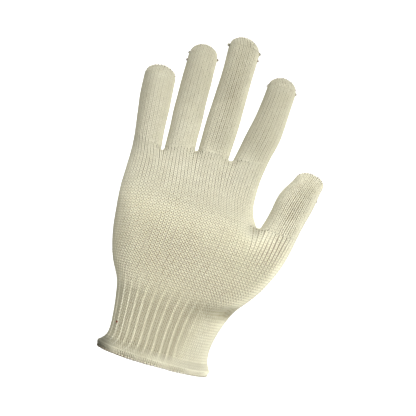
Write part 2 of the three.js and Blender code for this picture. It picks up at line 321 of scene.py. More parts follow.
class Cage:
    """The control cage of the whole glove."""

    def __init__(self) -> None:
        self.points: list[Vector] = []
        self.faces: list[Face] = []
        self.bands: dict[Part, int] = {part: 0 for part in PARTS}
        self.digit_spaces = [FINGER_SPACE] * DIGIT_SPACES
        self._build()
        self._fit()

    def _add(self, point: Vector) -> int:
        self.points.append(point)
        return len(self.points) - 1

    def _ring(self, row: Row, spaces: list[int]) -> Ring:
        shares = shares_of(spaces)
        left, right = row.edges()
        return Ring(
            self._add(left),
            self._add(right),
            [self._add(p) for p in row.half(-1, shares)],
            [self._add(p) for p in row.half(1, shares)],
        )

    def _next_band(self, part: Part) -> tuple[int, int]:
        """Takes the next band of the chart, which the sections of the body share."""
        key = BODY_PARTS[0] if part in BODY_PARTS else part
        self.bands[key] += 1
        return self.bands[key] - 1, self.bands[key]

    def _face(self, part: Part, corners: tuple[int, ...], across: Span, along: Span) -> None:
        """Adds a face that fills a rectangle of the chart.

        Args:
            part: the section that the face belongs to.
            corners: its points, from the lower left on the chart.
            across: its first and last wale.
            along: its first and last band.
        """
        (u0, u1), (low, high) = across, along
        cells = ((u0, low), (u1, low), (u1, high), (u0, high))
        self.faces.append(Face(part, corners, cells))

    def _tube(self, part: Part, lower: Ring, upper: Ring, spans: list[Span]) -> None:
        """Joins two rings of points.

        Args:
            part: the section that the faces belong to.
            lower: the ring nearer the wrist.
            upper: the next ring.
            spans: the wales at which each face begins and ends.
        """
        below, above = lower.around(), upper.around()
        band = self._next_band(part)
        for i, span in enumerate(spans):
            j = (i + 1) % len(below)
            self._face(part, (below[i], below[j], above[j], above[i]), span, band)

    def _web(self, part: Part, left: Ring, right: Ring, place: int) -> None:
        """Adds the strip between two digits, on a patch of the chart above the section's own.

        Args:
            part: the section that the faces belong to.
            left: the base ring of the digit on the left.
            right: the base ring of the digit on the right.
            place: which patch of the chart is used.
        """
        u0, reach = WEB_STRIDE * place, WEB_COURSES / 2
        for k, corners in enumerate((
            (left.palm[-1], right.palm[0], right.left, left.right),
            (left.right, right.left, right.back[0], left.back[-1]),
        )):
            low = WEB_FIRST_ROW + k * reach
            self._face(part, corners, (u0, u0 + WEB_WALES), (low, low + reach))

    def _tip(self, part: Part, row: Row, lower: Ring, spans: list[Span]) -> None:
        """Closes a digit with a round end.

        Args:
            part: the digit.
            row: its last section.
            lower: the ring of that section.
            spans: the wales at which each face begins and ends.
        """
        ends = TipOutline(part, row)
        places = {point: ends.across(self.points[point]) for point in (*lower.palm, *lower.back)}

        def turned(point: int, degrees: float) -> int:
            flat = ends.middle + ends.half * places[point]
            outward = self.points[point] - flat
            rise = ends.at(places[point]) - flat
            angle = math.radians(degrees)
            return self._add(flat + outward * math.cos(angle) + rise * math.sin(angle))

        ring = lower
        for turn, climb in TIP_ROWS:
            reach = math.cos(math.radians(climb))
            upper = Ring(
                self._add(ends.at(-reach)),
                self._add(ends.at(reach)),
                [turned(point, turn) for point in lower.palm],
                [turned(point, turn) for point in lower.back],
            )
            self._tube(part, ring, upper, spans)
            ring = upper
        seam = [
            self._add(ends.at((places[a] + places[b]) / 2))
            for a, b in zip(lower.palm, lower.back)
        ]
        band = self._next_band(part)
        for i in range(len(seam) - 1):
            j = i + 1
            self._face(part, (ring.palm[i], ring.palm[j], seam[j], seam[i]), spans[j], band)
            self._face(part, (ring.back[j], ring.back[i], seam[i], seam[j]), spans[-1 - j], band)
        side, (low, high) = spans[0][1], band
        for corners, u in (
            ((ring.left, ring.palm[0], seam[0], ring.back[0]), 0.0),
            ((ring.right, ring.back[-1], seam[-1], ring.palm[-1]), spans[DIGIT_SPACES][0]),
        ):
            cells = ((u, low), (u + side, low), (u, high), (u - side, low))
            self.faces.append(Face(part, corners, cells))

    def _digit(self, part: Part, base: Ring) -> None:
        wales = THUMB_WALES if part is Part.THUMB else FINGER_WALES
        spans = both_sides(spans_of(self.digit_spaces, wales), wales)
        ring = base
        for row in DIGITS[part][1:]:
            upper = self._ring(row, self.digit_spaces)
            self._tube(part, ring, upper, spans)
            ring = upper
        self._tip(part, DIGITS[part][-1], ring, spans)

    def _build(self) -> None:
        wide, narrow = palm_spaces(True), palm_spaces(False)
        half = spans_of(wide, PALM_WALES)
        spans = both_sides(half, PALM_WALES)
        ring = self._ring(HEM[0], wide)
        stack = [
            (Part.HEM, HEM[1]),
            (Part.HEM, CUFF[0]),
            (Part.CUFF, CUFF[1]),
            (Part.CUFF, LOWER_PALM[0]),
            *[(Part.LOWER_PALM, row) for row in LOWER_PALM[1:]],
        ]
        for part, row in stack:
            upper = self._ring(row, wide)
            self._tube(part, ring, upper, spans)
            ring = upper

        palm = self._ring(UPPER_PALM[0], narrow)
        thumb = self._ring(DIGITS[Part.THUMB][0], self.digit_spaces)
        both = Ring(palm.left, thumb.right, palm.palm + thumb.palm, palm.back + thumb.back)
        self._tube(Part.LOWER_PALM, ring, both, spans)
        self._web(Part.LOWER_PALM, palm, thumb, 0)
        self._digit(Part.THUMB, thumb)

        # Past the thumb the wales go on, with a whole number of them on each side.
        half = half[:len(narrow) - 1]
        half.append((half[-1][1], float(round(half[-1][1] + half[0][1]))))
        spans = both_sides(half, PALM_WALES)
        ring = palm
        for row in UPPER_PALM[1:]:
            upper = self._ring(row, narrow)
            self._tube(Part.UPPER_PALM, ring, upper, spans)
            ring = upper
        bases = [self._ring(DIGITS[part][0], self.digit_spaces) for part in FINGERS]
        joined = Ring(
            bases[0].left,
            bases[-1].right,
            [point for base in bases for point in base.palm],
            [point for base in bases for point in base.back],
        )
        self._tube(Part.UPPER_PALM, ring, joined, spans)
        for i, pair in enumerate(zip(bases, bases[1:])):
            self._web(Part.UPPER_PALM, *pair, i)
        for part, base in zip(FINGERS, bases):
            self._digit(part, base)

    def _fit(self) -> None:
        """Moves the cage so that its limit surface runs through the points as given."""
        count = len(self.points)
        edges: list[dict[int, int]] = [{} for _ in range(count)]
        diagonals: list[list[int]] = [[] for _ in range(count)]
        for face in self.faces:
            for i, point in enumerate(face.corners):
                diagonals[point].append(face.corners[(i + 2) % 4])
                for other in (face.corners[(i + 3) % 4], face.corners[(i + 1) % 4]):
                    edges[point][other] = edges[point].get(other, 0) + 1
        # What the limit surface takes from a point of the cage, from the ends of its edges and,
        # inside the surface, from the far corners of its faces.
        weights = np.zeros((count, count))
        for point in range(count):
            rim = [other for other, faces in edges[point].items() if faces == 1]
            if rim:
                weights[point, point] = 4 / 6
                weights[point, rim] = 1 / 6
                continue
            n = len(edges[point])
            total = n * (n + 5)
            weights[point, point] = n * n / total
            for other in edges[point]:
                weights[point, other] += 4 / total
            for other in diagonals[point]:
                weights[point, other] += 1 / total
        targets = np.array([list(p) for p in self.points])
        moved = targets.copy()
        for _ in range(FIT_ROUNDS):
            moved += targets - weights @ moved
        self.points = [Vector(p) for p in moved]

    def subdivided(self, levels: int) -> bpy.types.Mesh:
        """Makes the limit surface as a mesh in millimetres.

        Args:
            levels: rounds of subdivision.

        Returns:
            A mesh whose material index is the part's place in PARTS, with the UV map "chart".
        """
        cells = np.array([cell for face in self.faces for cell in face.cells])
        corners = [face.corners for face in self.faces]
        mesh = new_mesh("cage", self.points, corners, (cells + CHART_MARGIN) / CHART_CELLS)
        index = [PARTS.index(face.part) for face in self.faces]
        mesh.polygons.foreach_set("material_index", index)
        holder = bpy.data.objects.new("cage", mesh)
        bpy.context.scene.collection.objects.link(holder)
        modifier = holder.modifiers.new("round", "SUBSURF")
        modifier.levels = levels
        modifier.uv_smooth = "NONE"
        modifier.use_limit_surface = True
        graph = bpy.context.evaluated_depsgraph_get()
        smooth = bpy.data.meshes.new_from_object(holder.evaluated_get(graph))
        bpy.data.objects.remove(holder)
        return smooth


# The dent where the root of the thumb folds against the cuff, seen from the palm. It sets in
# where the cloth turns to the palm side, from one slant to the next.
FOLD_FROM = Vector((16.0, 44.0))
FOLD_TO = Vector((45.0, 46.0))
FOLD_DEPTH = 4.8
FOLD_REACH = 9.0
FOLD_SLANTS = (0.0, 0.5)
# The wales of the palm drift by so many wales to the thumb side between these heights, and by
# this share less on that side, from one distance across to the next.
DRIFT = 3.6
DRIFT_HEIGHTS = (38.0, 84.0)
DRIFT_FADE = 0.7
DRIFT_FADE_ACROSS = (-10.0, 40.0)
# Its courses rise to the thumb side at a slope that grows with the distance from the end, and
# that sets in between these heights.
RISE_END = 35.0
RISE_SLOPE = 0.03
RISE_GROWTH = 0.0028
RISE_HEIGHTS = (24.0, 112.0)
# The cloth is a little uneven everywhere, by this much over this distance.
UNEVEN = 0.3
UNEVEN_REACH = 16.0


def smoothstep(low: float, high: float, value: np.ndarray) -> np.ndarray:
    """Eases from 0 at low to 1 at high."""
    t = np.clip((value - low) / (high - low), 0.0, 1.0)
    return t * t * (3 - 2 * t)


class Skin:
    """The glove's outer surface as arrays, in millimetres."""

    def __init__(self, cage: Cage, levels: int) -> None:
        mesh = cage.subdivided(levels)
        points = np.empty(len(mesh.vertices) * 3)
        mesh.vertices.foreach_get("co", points)
        self.points = points.reshape(-1, 3)
        corners = np.empty(len(mesh.loops), dtype=np.int64)
        mesh.loops.foreach_get("vertex_index", corners)
        self.faces = corners.reshape(-1, 4)
        chart = np.empty(len(mesh.loops) * 2)
        mesh.uv_layers["chart"].data.foreach_get("uv", chart)
        self.chart = chart.reshape(-1, 4, 2)
        self.part = np.empty(len(mesh.polygons), dtype=np.int64)
        mesh.polygons.foreach_get("material_index", self.part)
        bpy.data.meshes.remove(mesh)
        for parts in (BODY_PARTS, *[[part] for part in DIGIT_PARTS]):
            self._count_courses(parts)
        self._skew()
        self._press()

    def _charted_by(self, parts: list[Part]) -> np.ndarray:
        """Finds the faces of some sections, without the strips between digits."""
        high = self.chart[..., 1].max(axis=1) * CHART_CELLS - CHART_MARGIN
        return np.isin(self.part, [PARTS.index(part) for part in parts]) & (high < WEB_FIRST_ROW)

    def _skew(self) -> None:
        """Draws the body's chart askew, as the cloth is drawn on the worn glove."""
        chosen = self._charted_by(BODY_PARTS)
        x, _, z = np.moveaxis(self.points[self.faces[chosen]], -1, 0)
        fade = 1 - DRIFT_FADE * smoothstep(*DRIFT_FADE_ACROSS, x)
        drift = DRIFT * smoothstep(*DRIFT_HEIGHTS, z) * fade
        aside = np.maximum(RISE_END - x, 0.0)
        rise = (RISE_SLOPE + RISE_GROWTH * aside / 2) * aside * smoothstep(*RISE_HEIGHTS, z)
        self.chart[chosen, :, 0] -= drift / CHART_CELLS
        self.chart[chosen, :, 1] += rise / COURSE_HEIGHT[0] / CHART_CELLS

    def _count_courses(self, parts: list[Part]) -> None:
        """Turns the bands on the chart into evenly spaced courses, a whole number in all."""
        cells = self.chart * CHART_CELLS - CHART_MARGIN
        chosen = self._charted_by(parts)
        faces, bands = self.faces[chosen], cells[chosen][..., 1].round(5)
        level = (bands[:, 0] == bands[:, 1]) & (bands[:, 2] == bands[:, 3])
        faces, bands = faces[level], bands[level]
        rise = np.linalg.norm(self.points[faces[:, 3]] - self.points[faces[:, 0]], axis=1)
        height = self.points[faces[:, 0], 2]
        lows = np.unique(bands[:, 0])
        courses = [0.0]
        for low in lows:
            row = bands[:, 0] == low
            course = np.interp(height[row].mean(), COURSE_AT, COURSE_HEIGHT)
            courses.append(courses[-1] + float(np.median(rise[row])) / course)
        whole = np.array(courses) * round(courses[-1]) / courses[-1]
        ends = np.append(lows, bands[:, 3].max())
        counted = np.interp(cells[chosen][..., 1], ends, whole)
        self.chart[chosen, :, 1] = (counted + CHART_MARGIN) / CHART_CELLS

    def _facing(self) -> np.ndarray:
        """Works out the outward direction at each point."""
        a, b, c, d = (self.points[self.faces[:, k]] for k in range(4))
        crossed = np.cross(c - a, d - b)
        sums = np.zeros_like(self.points)
        for k in range(4):
            np.add.at(sums, self.faces[:, k], crossed)
        return sums / np.linalg.norm(sums, axis=1, keepdims=True)

    def _press(self) -> None:
        """Presses in the fold at the thumb's root and a faint unevenness all over."""
        outward = self._facing()
        line = np.array(FOLD_TO - FOLD_FROM)
        offset = self.points[:, [0, 2]] - np.array(FOLD_FROM)
        share = np.clip(offset @ line / (line @ line), 0, 1)
        away = np.linalg.norm(offset - share[:, None] * line, axis=1) / FOLD_REACH
        palm_side = smoothstep(*FOLD_SLANTS, -outward[:, 1])
        depth = FOLD_DEPTH * share * np.clip(1 - away**2, 0, 1) ** 2 * palm_side
        waves = [UNEVEN * noise.noise(Vector(p) / UNEVEN_REACH) for p in self.points]
        self.points += outward * (np.array(waves) - depth)[:, None]
        self.outward = self._facing()

    def section(self, part: Part) -> tuple[np.ndarray, np.ndarray, np.ndarray, np.ndarray]:
        """Picks out one section.

        Args:
            part: the section.

        Returns:
            Its points, their outward directions, its faces and the faces' places on the chart.
        """
        wanted = self.part == PARTS.index(part)
        faces, chart = self.faces[wanted], self.chart[wanted]
        used, places = np.unique(faces, return_inverse=True)
        return self.points[used], self.outward[used], places.reshape(-1, 4), chart

    def rings(self, part: Part) -> tuple[np.ndarray, np.ndarray]:
        """Sorts the points of a section that is a plain tube into rings.

        Args:
            part: the section.

        Returns:
            The points and their outward directions, ring by ring from the wrist, each ring
            counter-clockwise from its left edge.
        """
        points, outward, faces, chart = self.section(part)
        place = np.zeros((len(points), 2))
        # The last column closes on the first, whose place on the chart is kept.
        for corner in (1, 2, 3, 0):
            place[faces[:, corner]] = chart[:, corner]
        around = int(np.isclose(place[:, 1], place[:, 1].min()).sum())
        order = np.lexsort((place[:, 0].round(6), place[:, 1].round(6)))
        return points[order].reshape(-1, around, 3), outward[order].reshape(-1, around, 3)


@dataclass(frozen=True)
class Spot:
    """A spot of the cloth, seen from the palm, in millimetres, and the amount at its middle."""

    x: float
    z: float
    wide: float
    high: float
    amount: float

    def at(self, points: np.ndarray) -> np.ndarray:
        """Gives the amount at some points, which falls off all round."""
        across = (points[:, 0] - self.x) / self.wide
        along = (points[:, 2] - self.z) / self.high
        return self.amount * np.exp(-(across**2) - along**2)


# Here the stitches are spread apart, or crowded together where the amount is under 0.
SPREADS = [
    Spot(-10.0, 80.0, 50.0, 36.0, 0.7),
    Spot(60.0, 94.0, 15.0, 13.0, 0.45),
    Spot(32.0, 58.0, 18.0, 13.0, 0.35),
    Spot(-10.0, 128.0, 12.0, 14.0, 0.3),
    Spot(42.0, 109.0, 8.0, 8.0, -1.6),
    Spot(26.0, 18.0, 11.0, 24.0, 0.18),
    Spot(14.0, 138.0, 14.0, 9.0, 0.5),
    Spot(-42.0, 130.0, 16.0, 12.0, 0.4),
    Spot(62.0, 128.0, 7.5, 18.0, 0.5),
    Spot(-4.0, 168.0, 6.0, 9.0, 0.45),
    Spot(-2.0, 196.0, 7.0, 14.0, 0.6),
    Spot(-27.0, 190.0, 6.5, 18.0, 0.15),
    Spot(29.0, 170.0, 7.0, 10.0, 0.4),
    Spot(31.0, 193.0, 6.5, 12.0, 0.2),
]


def spread_at(points: np.ndarray) -> np.ndarray:
    """Says how far the stitches are spread apart at some points, from 0 to 1, or crowded, to -1."""
    return np.clip(sum(spot.at(points) for spot in SPREADS), -1.0, 1.0)


# The ribs rise out of the hem between the first heights and die away between the second.
RIB_FEET = (4.0, 9.0)
RIB_TOPS = (40.0, 58.0)
# On the palm side the cuff is plain past this distance to the thumb side, farther up by the
# lean. The ribs fade out over so much on each side of that line, and of the glove's side.
RIB_END = 9.5
RIB_LEAN = 0.26
RIB_FADE = 7.0
SIDE_FADE = 4.0


def rib_at(points: np.ndarray) -> np.ndarray:
    """Says how strongly the cuff's ribs stand out at some points, from 0 to 1."""
    x, y, z = points.T
    along = smoothstep(*RIB_FEET, z) * (1 - smoothstep(*RIB_TOPS, z))
    end = RIB_END + RIB_LEAN * z
    plain = smoothstep(-RIB_FADE, RIB_FADE, x - end) * smoothstep(SIDE_FADE, -SIDE_FADE, y)
    return along * (1 - plain)


# The cloth is pulled lengthwise above, where that sets in between these heights, and round the
# root and the base of the thumb. The two yarns of a wale of the palm draw together there by the
# first share, and by the second one more at the root.
PULL_HEIGHTS = (112.0, 136.0)
PULL_ROOT = Spot(60.0, 103.0, 22.0, 15.0, 1.0)
PULL_THUMB = Spot(60.0, 119.0, 18.0, 12.0, 1.0)
PULL_DRAW = 0.06
ROOT_DRAW = 0.14


def pull_at(points: np.ndarray) -> np.ndarray:
    """Says how far the stitches are pulled lengthwise at some points, from 0 to 1."""
    high = smoothstep(*PULL_HEIGHTS, points[:, 2])
    return np.maximum.reduce([high, PULL_ROOT.at(points), PULL_THUMB.at(points)])


# How far the stitches of each section stand out, as a share of the stitch's own lifts.
RELIEF = {
    Part.HEM: 0.45,
    Part.CUFF: 0.85,
    Part.LOWER_PALM: 1.0,
    Part.UPPER_PALM: 0.45,
    Part.LITTLE: 0.25,
    Part.RING: 0.3,
    Part.MIDDLE: 0.42,
    Part.INDEX: 0.34,
    Part.THUMB: 0.52,
}
# Where the cloth turns round an edge it is pulled flatter by this share, from one slant to the
# next, and in these places by their amounts: the corner beside the thumb and the plain cuff.
EDGE_PULL = 0.4
EDGE_SLANTS = (0.5, 0.95)
FLATS = [
    Spot(41.0, 109.0, 6.0, 6.0, 0.85),
    Spot(28.0, 14.0, 13.0, 28.0, 0.32),
]
# The lower palm's relief gives way to the cuff's below, to the upper palm's above, and that to
# the relief of the fingers' bases, each between two heights.
CUFF_HEIGHTS = (60.0, 44.0)
RELIEF_HEIGHTS = (84.0, 124.0)
BASE_HEIGHTS = (134.0, 149.0)
BASE_RELIEF = 0.27
# Yarn that lies flat spreads wider by this share.
FLAT_WIDER = 0.08


def relief_at(part: Part, points: np.ndarray, outward: np.ndarray) -> np.ndarray:
    """Says how far the stitches stand out at some points of a section, from 0 to 1."""
    z = points[:, 2]
    amount = np.full(len(points), RELIEF[part])
    if part is Part.UPPER_PALM:
        amount -= (amount - BASE_RELIEF) * smoothstep(*BASE_HEIGHTS, z)
    if part is Part.LOWER_PALM:
        fall = RELIEF[Part.LOWER_PALM] - RELIEF[Part.UPPER_PALM]
        amount -= fall * smoothstep(*RELIEF_HEIGHTS, z)
        amount *= 1 - (1 - RELIEF[Part.CUFF]) * smoothstep(*CUFF_HEIGHTS, z)
    for spot in FLATS:
        amount *= 1 - spot.at(points)
    return amount * (1 - EDGE_PULL * smoothstep(*EDGE_SLANTS, np.abs(outward[:, 0])))


def new_object(name: str, mesh: bpy.types.Mesh) -> bpy.types.Object:
    """Links a mesh as an object at the origin."""
    made = bpy.data.objects.new(name, mesh)
    bpy.context.scene.collection.objects.link(made)
    return made


def new_mesh(
    name: str, points: list, faces: list, chart: np.ndarray | None = None,
) -> bpy.types.Mesh:
    """Makes a smooth mesh.

    Args:
        name: its name.
        points: its points.
        faces: the numbers of each face's points.
        chart: the places of the faces' corners on the chart, if it has one.

    Returns:
        The mesh.
    """
    mesh = bpy.data.meshes.new(name)
    mesh.from_pydata(points, [], faces)
    mesh.shade_smooth()
    if chart is not None:
        mesh.uv_layers.new(name="chart").data.foreach_set("uv", chart.ravel())
    return mesh


def store(mesh: bpy.types.Mesh, name: str, values: object) -> None:
    """Keeps a number or a vector for each point of a mesh, as an attribute."""
    array = np.asarray(values, dtype=np.float32)
    kind, key = ("FLOAT_VECTOR", "vector") if array.ndim == 2 else ("FLOAT", "value")
    mesh.attributes.new(name, kind, "POINT").data.foreach_set(key, array.ravel())


Socket = bpy.types.NodeSocket
MATH = "ShaderNodeMath"
VECTOR_MATH = "ShaderNodeVectorMath"
MIX = "ShaderNodeMix"
SEPARATE = "ShaderNodeSeparateXYZ"
COMBINE = "ShaderNodeCombineXYZ"
RAMP = "ShaderNodeMapRange"


def linear(colour: str) -> tuple[float, float, float, float]:
    """Turns an sRGB hex colour into linear RGBA."""
    values = [int(colour[i:i + 2], 16) / 255 for i in (1, 3, 5)]
    return (*[v / 12.92 if v <= 0.04045 else ((v + 0.055) / 1.055) ** 2.4 for v in values], 1.0)


def add_node(
    tree: bpy.types.NodeTree,
    kind: str,
    inputs: tuple[object, ...] | dict[str, object] = (),
    **settings: object,
) -> Socket | None:
    """Adds a node with its settings, values and links.

    Args:
        tree: the tree that gets the node.
        kind: the node's type.
        inputs: a value for each input, or the socket that feeds it, by name or in the order of
            the inputs that the settings leave in use. A colour may be hex text.
        settings: properties of the node.

    Returns:
        The first output in use, if the node has one.
    """
    made = tree.nodes.new(kind)
    for name, value in settings.items():
        setattr(made, name, value)
    if isinstance(inputs, dict):
        pairs = [(made.inputs[name], value) for name, value in inputs.items()]
    else:
        pairs = list(zip([socket for socket in made.inputs if socket.enabled], inputs))
    for socket, value in pairs:
        if isinstance(value, Socket):
            tree.links.new(value, socket)
        else:
            hex_text = socket.type == "RGBA" and isinstance(value, str)
            socket.default_value = linear(value) if hex_text else value
    return next((socket for socket in made.outputs if socket.enabled), None)


@dataclass(frozen=True)
class YarnPoint:
    """A point along the visible run of a yarn in one cell of the chart.

    across and along are in cells, lift is in millimetres, and girth is a share of the radius.
    """

    across: float
    along: float
    lift: float
    girth: float


def two_legs(*leg: YarnPoint) -> tuple[tuple[YarnPoint, ...], ...]:
    """Gives the leg and its mirror image, which make up a knit stitch."""
    return leg, tuple(YarnPoint(-spot.across, spot.along, spot.lift, spot.girth) for spot in leg)


class Stitch(Enum):
    """The stitches, each by the runs of yarn that show."""

    KNIT = two_legs(
        YarnPoint(0.03, -0.68, -0.40, 0.0),
        YarnPoint(0.10, -0.46, 0.14, 0.98),
        YarnPoint(0.19, -0.19, 0.26, 1.05),
        YarnPoint(0.30, 0.10, 0.03, 1.0),
        YarnPoint(0.35, 0.41, -0.24, 0.90),
        YarnPoint(0.33, 0.74, -0.55, 0.0),
    )
    LONG = two_legs(
        YarnPoint(0.13, -0.76, -0.34, 0.0),
        YarnPoint(0.18, -0.50, 0.10, 0.95),
        YarnPoint(0.22, -0.17, 0.17, 1.0),
        YarnPoint(0.26, 0.16, 0.14, 1.0),
        YarnPoint(0.29, 0.49, -0.02, 0.95),
        YarnPoint(0.30, 0.86, -0.46, 0.0),
    )
    WRAP = (
        (
            YarnPoint(-0.10, -0.75, -0.15, 0.0),
            YarnPoint(-0.06, -0.45, 0.15, 0.95),
            YarnPoint(0.00, 0.00, 0.20, 1.0),
            YarnPoint(0.06, 0.45, 0.15, 0.95),
            YarnPoint(0.10, 0.75, -0.15, 0.0),
        ),
    )


class StitchTemplate:
    """A stitch whose vertices carry their place in a cell, for the knit tree to lay out.

    They carry a second place, which the stitch takes where the cloth is pulled lengthwise.
    """

    ANGLES = (90, 210, 330)
    # The plies wind round each other so often along a yarn, and by this share of a turn round it.
    TURNS = 4.5
    TURN_ROUND = 0.4
    # Yarn is painted in full light from the first height, in millimetres, and in full painted shade
    # at the second.
    SHADE = (0.18, -0.30)

    def __init__(self, stitch: Stitch, pulled: Stitch) -> None:
        self.vectors: dict[str, list[tuple[float, float, float]]] = {
            "path": [], "around": [], "pulled_path": [], "pulled_around": [],
        }
        self.values: dict[str, list[float]] = {"twist": [], "shade": []}
        self.faces: list[tuple[int, ...]] = []
        for runs in zip(stitch.value, pulled.value):
            self._tube(*runs)
        self.made = self._object(stitch.name.lower())

    def _vertex(self, point: YarnPoint, pulled: YarnPoint, degrees: float, share: float) -> int:
        angle = math.radians(degrees)
        cosine, sine = math.cos(angle), math.sin(angle)
        for spot, prefix in ((point, ""), (pulled, "pulled_")):
            self.vectors[f"{prefix}path"].append((spot.across, spot.along, spot.lift * MM))
            self.vectors[f"{prefix}around"].append((cosine * spot.girth, 0.0, sine * spot.girth))
        self.values["twist"].append(self.TURNS * share + self.TURN_ROUND * cosine)
        lit, dark = self.SHADE
        self.values["shade"].append((lit - point.lift) / (lit - dark))
        return len(self.values["twist"]) - 1

    def _tube(self, run: tuple[YarnPoint, ...], pulled: tuple[YarnPoint, ...]) -> None:
        steps = len(run) - 1
        start = self._vertex(run[0], pulled[0], self.ANGLES[0], 0.0)
        rings = [
            [self._vertex(run[k], pulled[k], angle, k / steps) for angle in self.ANGLES]
            for k in range(1, steps)
        ]
        end = self._vertex(run[-1], pulled[-1], self.ANGLES[0], 1.0)
        for k in range(3):
            j = (k + 1) % 3
            self.faces.append((start, rings[0][j], rings[0][k]))
            for low, high in zip(rings, rings[1:]):
                self.faces.append((low[k], low[j], high[j], high[k]))
            self.faces.append((end, rings[-1][k], rings[-1][j]))

    def _object(self, name: str) -> bpy.types.Object:
        mesh = new_mesh(name, self.vectors["path"], self.faces)
        for key, values in {**self.vectors, **self.values}.items():
            store(mesh, key, values)
        return new_object(name, mesh)


@dataclass
class Charted:
    """A surface on which stitches are laid, in millimetres, with its chart in cells."""

    points: np.ndarray
    outward: np.ndarray
    faces: np.ndarray
    chart: np.ndarray
    fields: dict[str, np.ndarray]

    @classmethod
    def strip(
        cls, points: np.ndarray, outward: np.ndarray, columns: float, closed: bool, relief: float,
    ) -> Charted:
        """Charts a strip that is given row by row.

        Args:
            points: rows of points, across the strip and then along it.
            outward: their outward directions.
            columns: the stitches along the strip.
            closed: whether the strip closes on itself.
            relief: how far the stitches stand out.

        Returns:
            The charted strip, one cell across for each whole row of the caller's grid.
        """
        rows, count = points.shape[:2]
        spans = count if closed else count - 1
        index = np.arange(rows * count).reshape(rows, count)
        faces, chart = [], []
        for r in range(rows - 1):
            for c in range(spans):
                d = (c + 1) % count
                faces.append((index[r, c], index[r, d], index[r + 1, d], index[r + 1, c]))
                u0, u1 = c * columns / spans, (c + 1) * columns / spans
                chart.append(((u0, r), (u1, r), (u1, r + 1), (u0, r + 1)))
        cells = (np.array(chart, dtype=float) + CHART_MARGIN) / CHART_CELLS
        flat = points.reshape(-1, 3)
        even = {"rib": 0.0, "girth": 1.0, "relief": relief, "pull": 0.0, "drawn": 0.0}
        fields = {name: np.full(len(flat), value) for name, value in even.items()}
        return cls(flat, outward.reshape(-1, 3), np.array(faces), cells, fields)

    def sunk(self, depth: float) -> bpy.types.Object:
        """Makes the surface as an object, for the knit tree.

        Args:
            depth: how far under the surface the yarn's middle lies.

        Returns:
            An object with the UV map and the attributes that the tree reads.
        """
        places = (self.points - self.outward * depth) * MM
        mesh = new_mesh("charted", places.tolist(), self.faces.tolist(), self.chart)
        for name, values in {"outward": self.outward, **self.fields}.items():
            store(mesh, name, values)
        return new_object("charted", mesh)


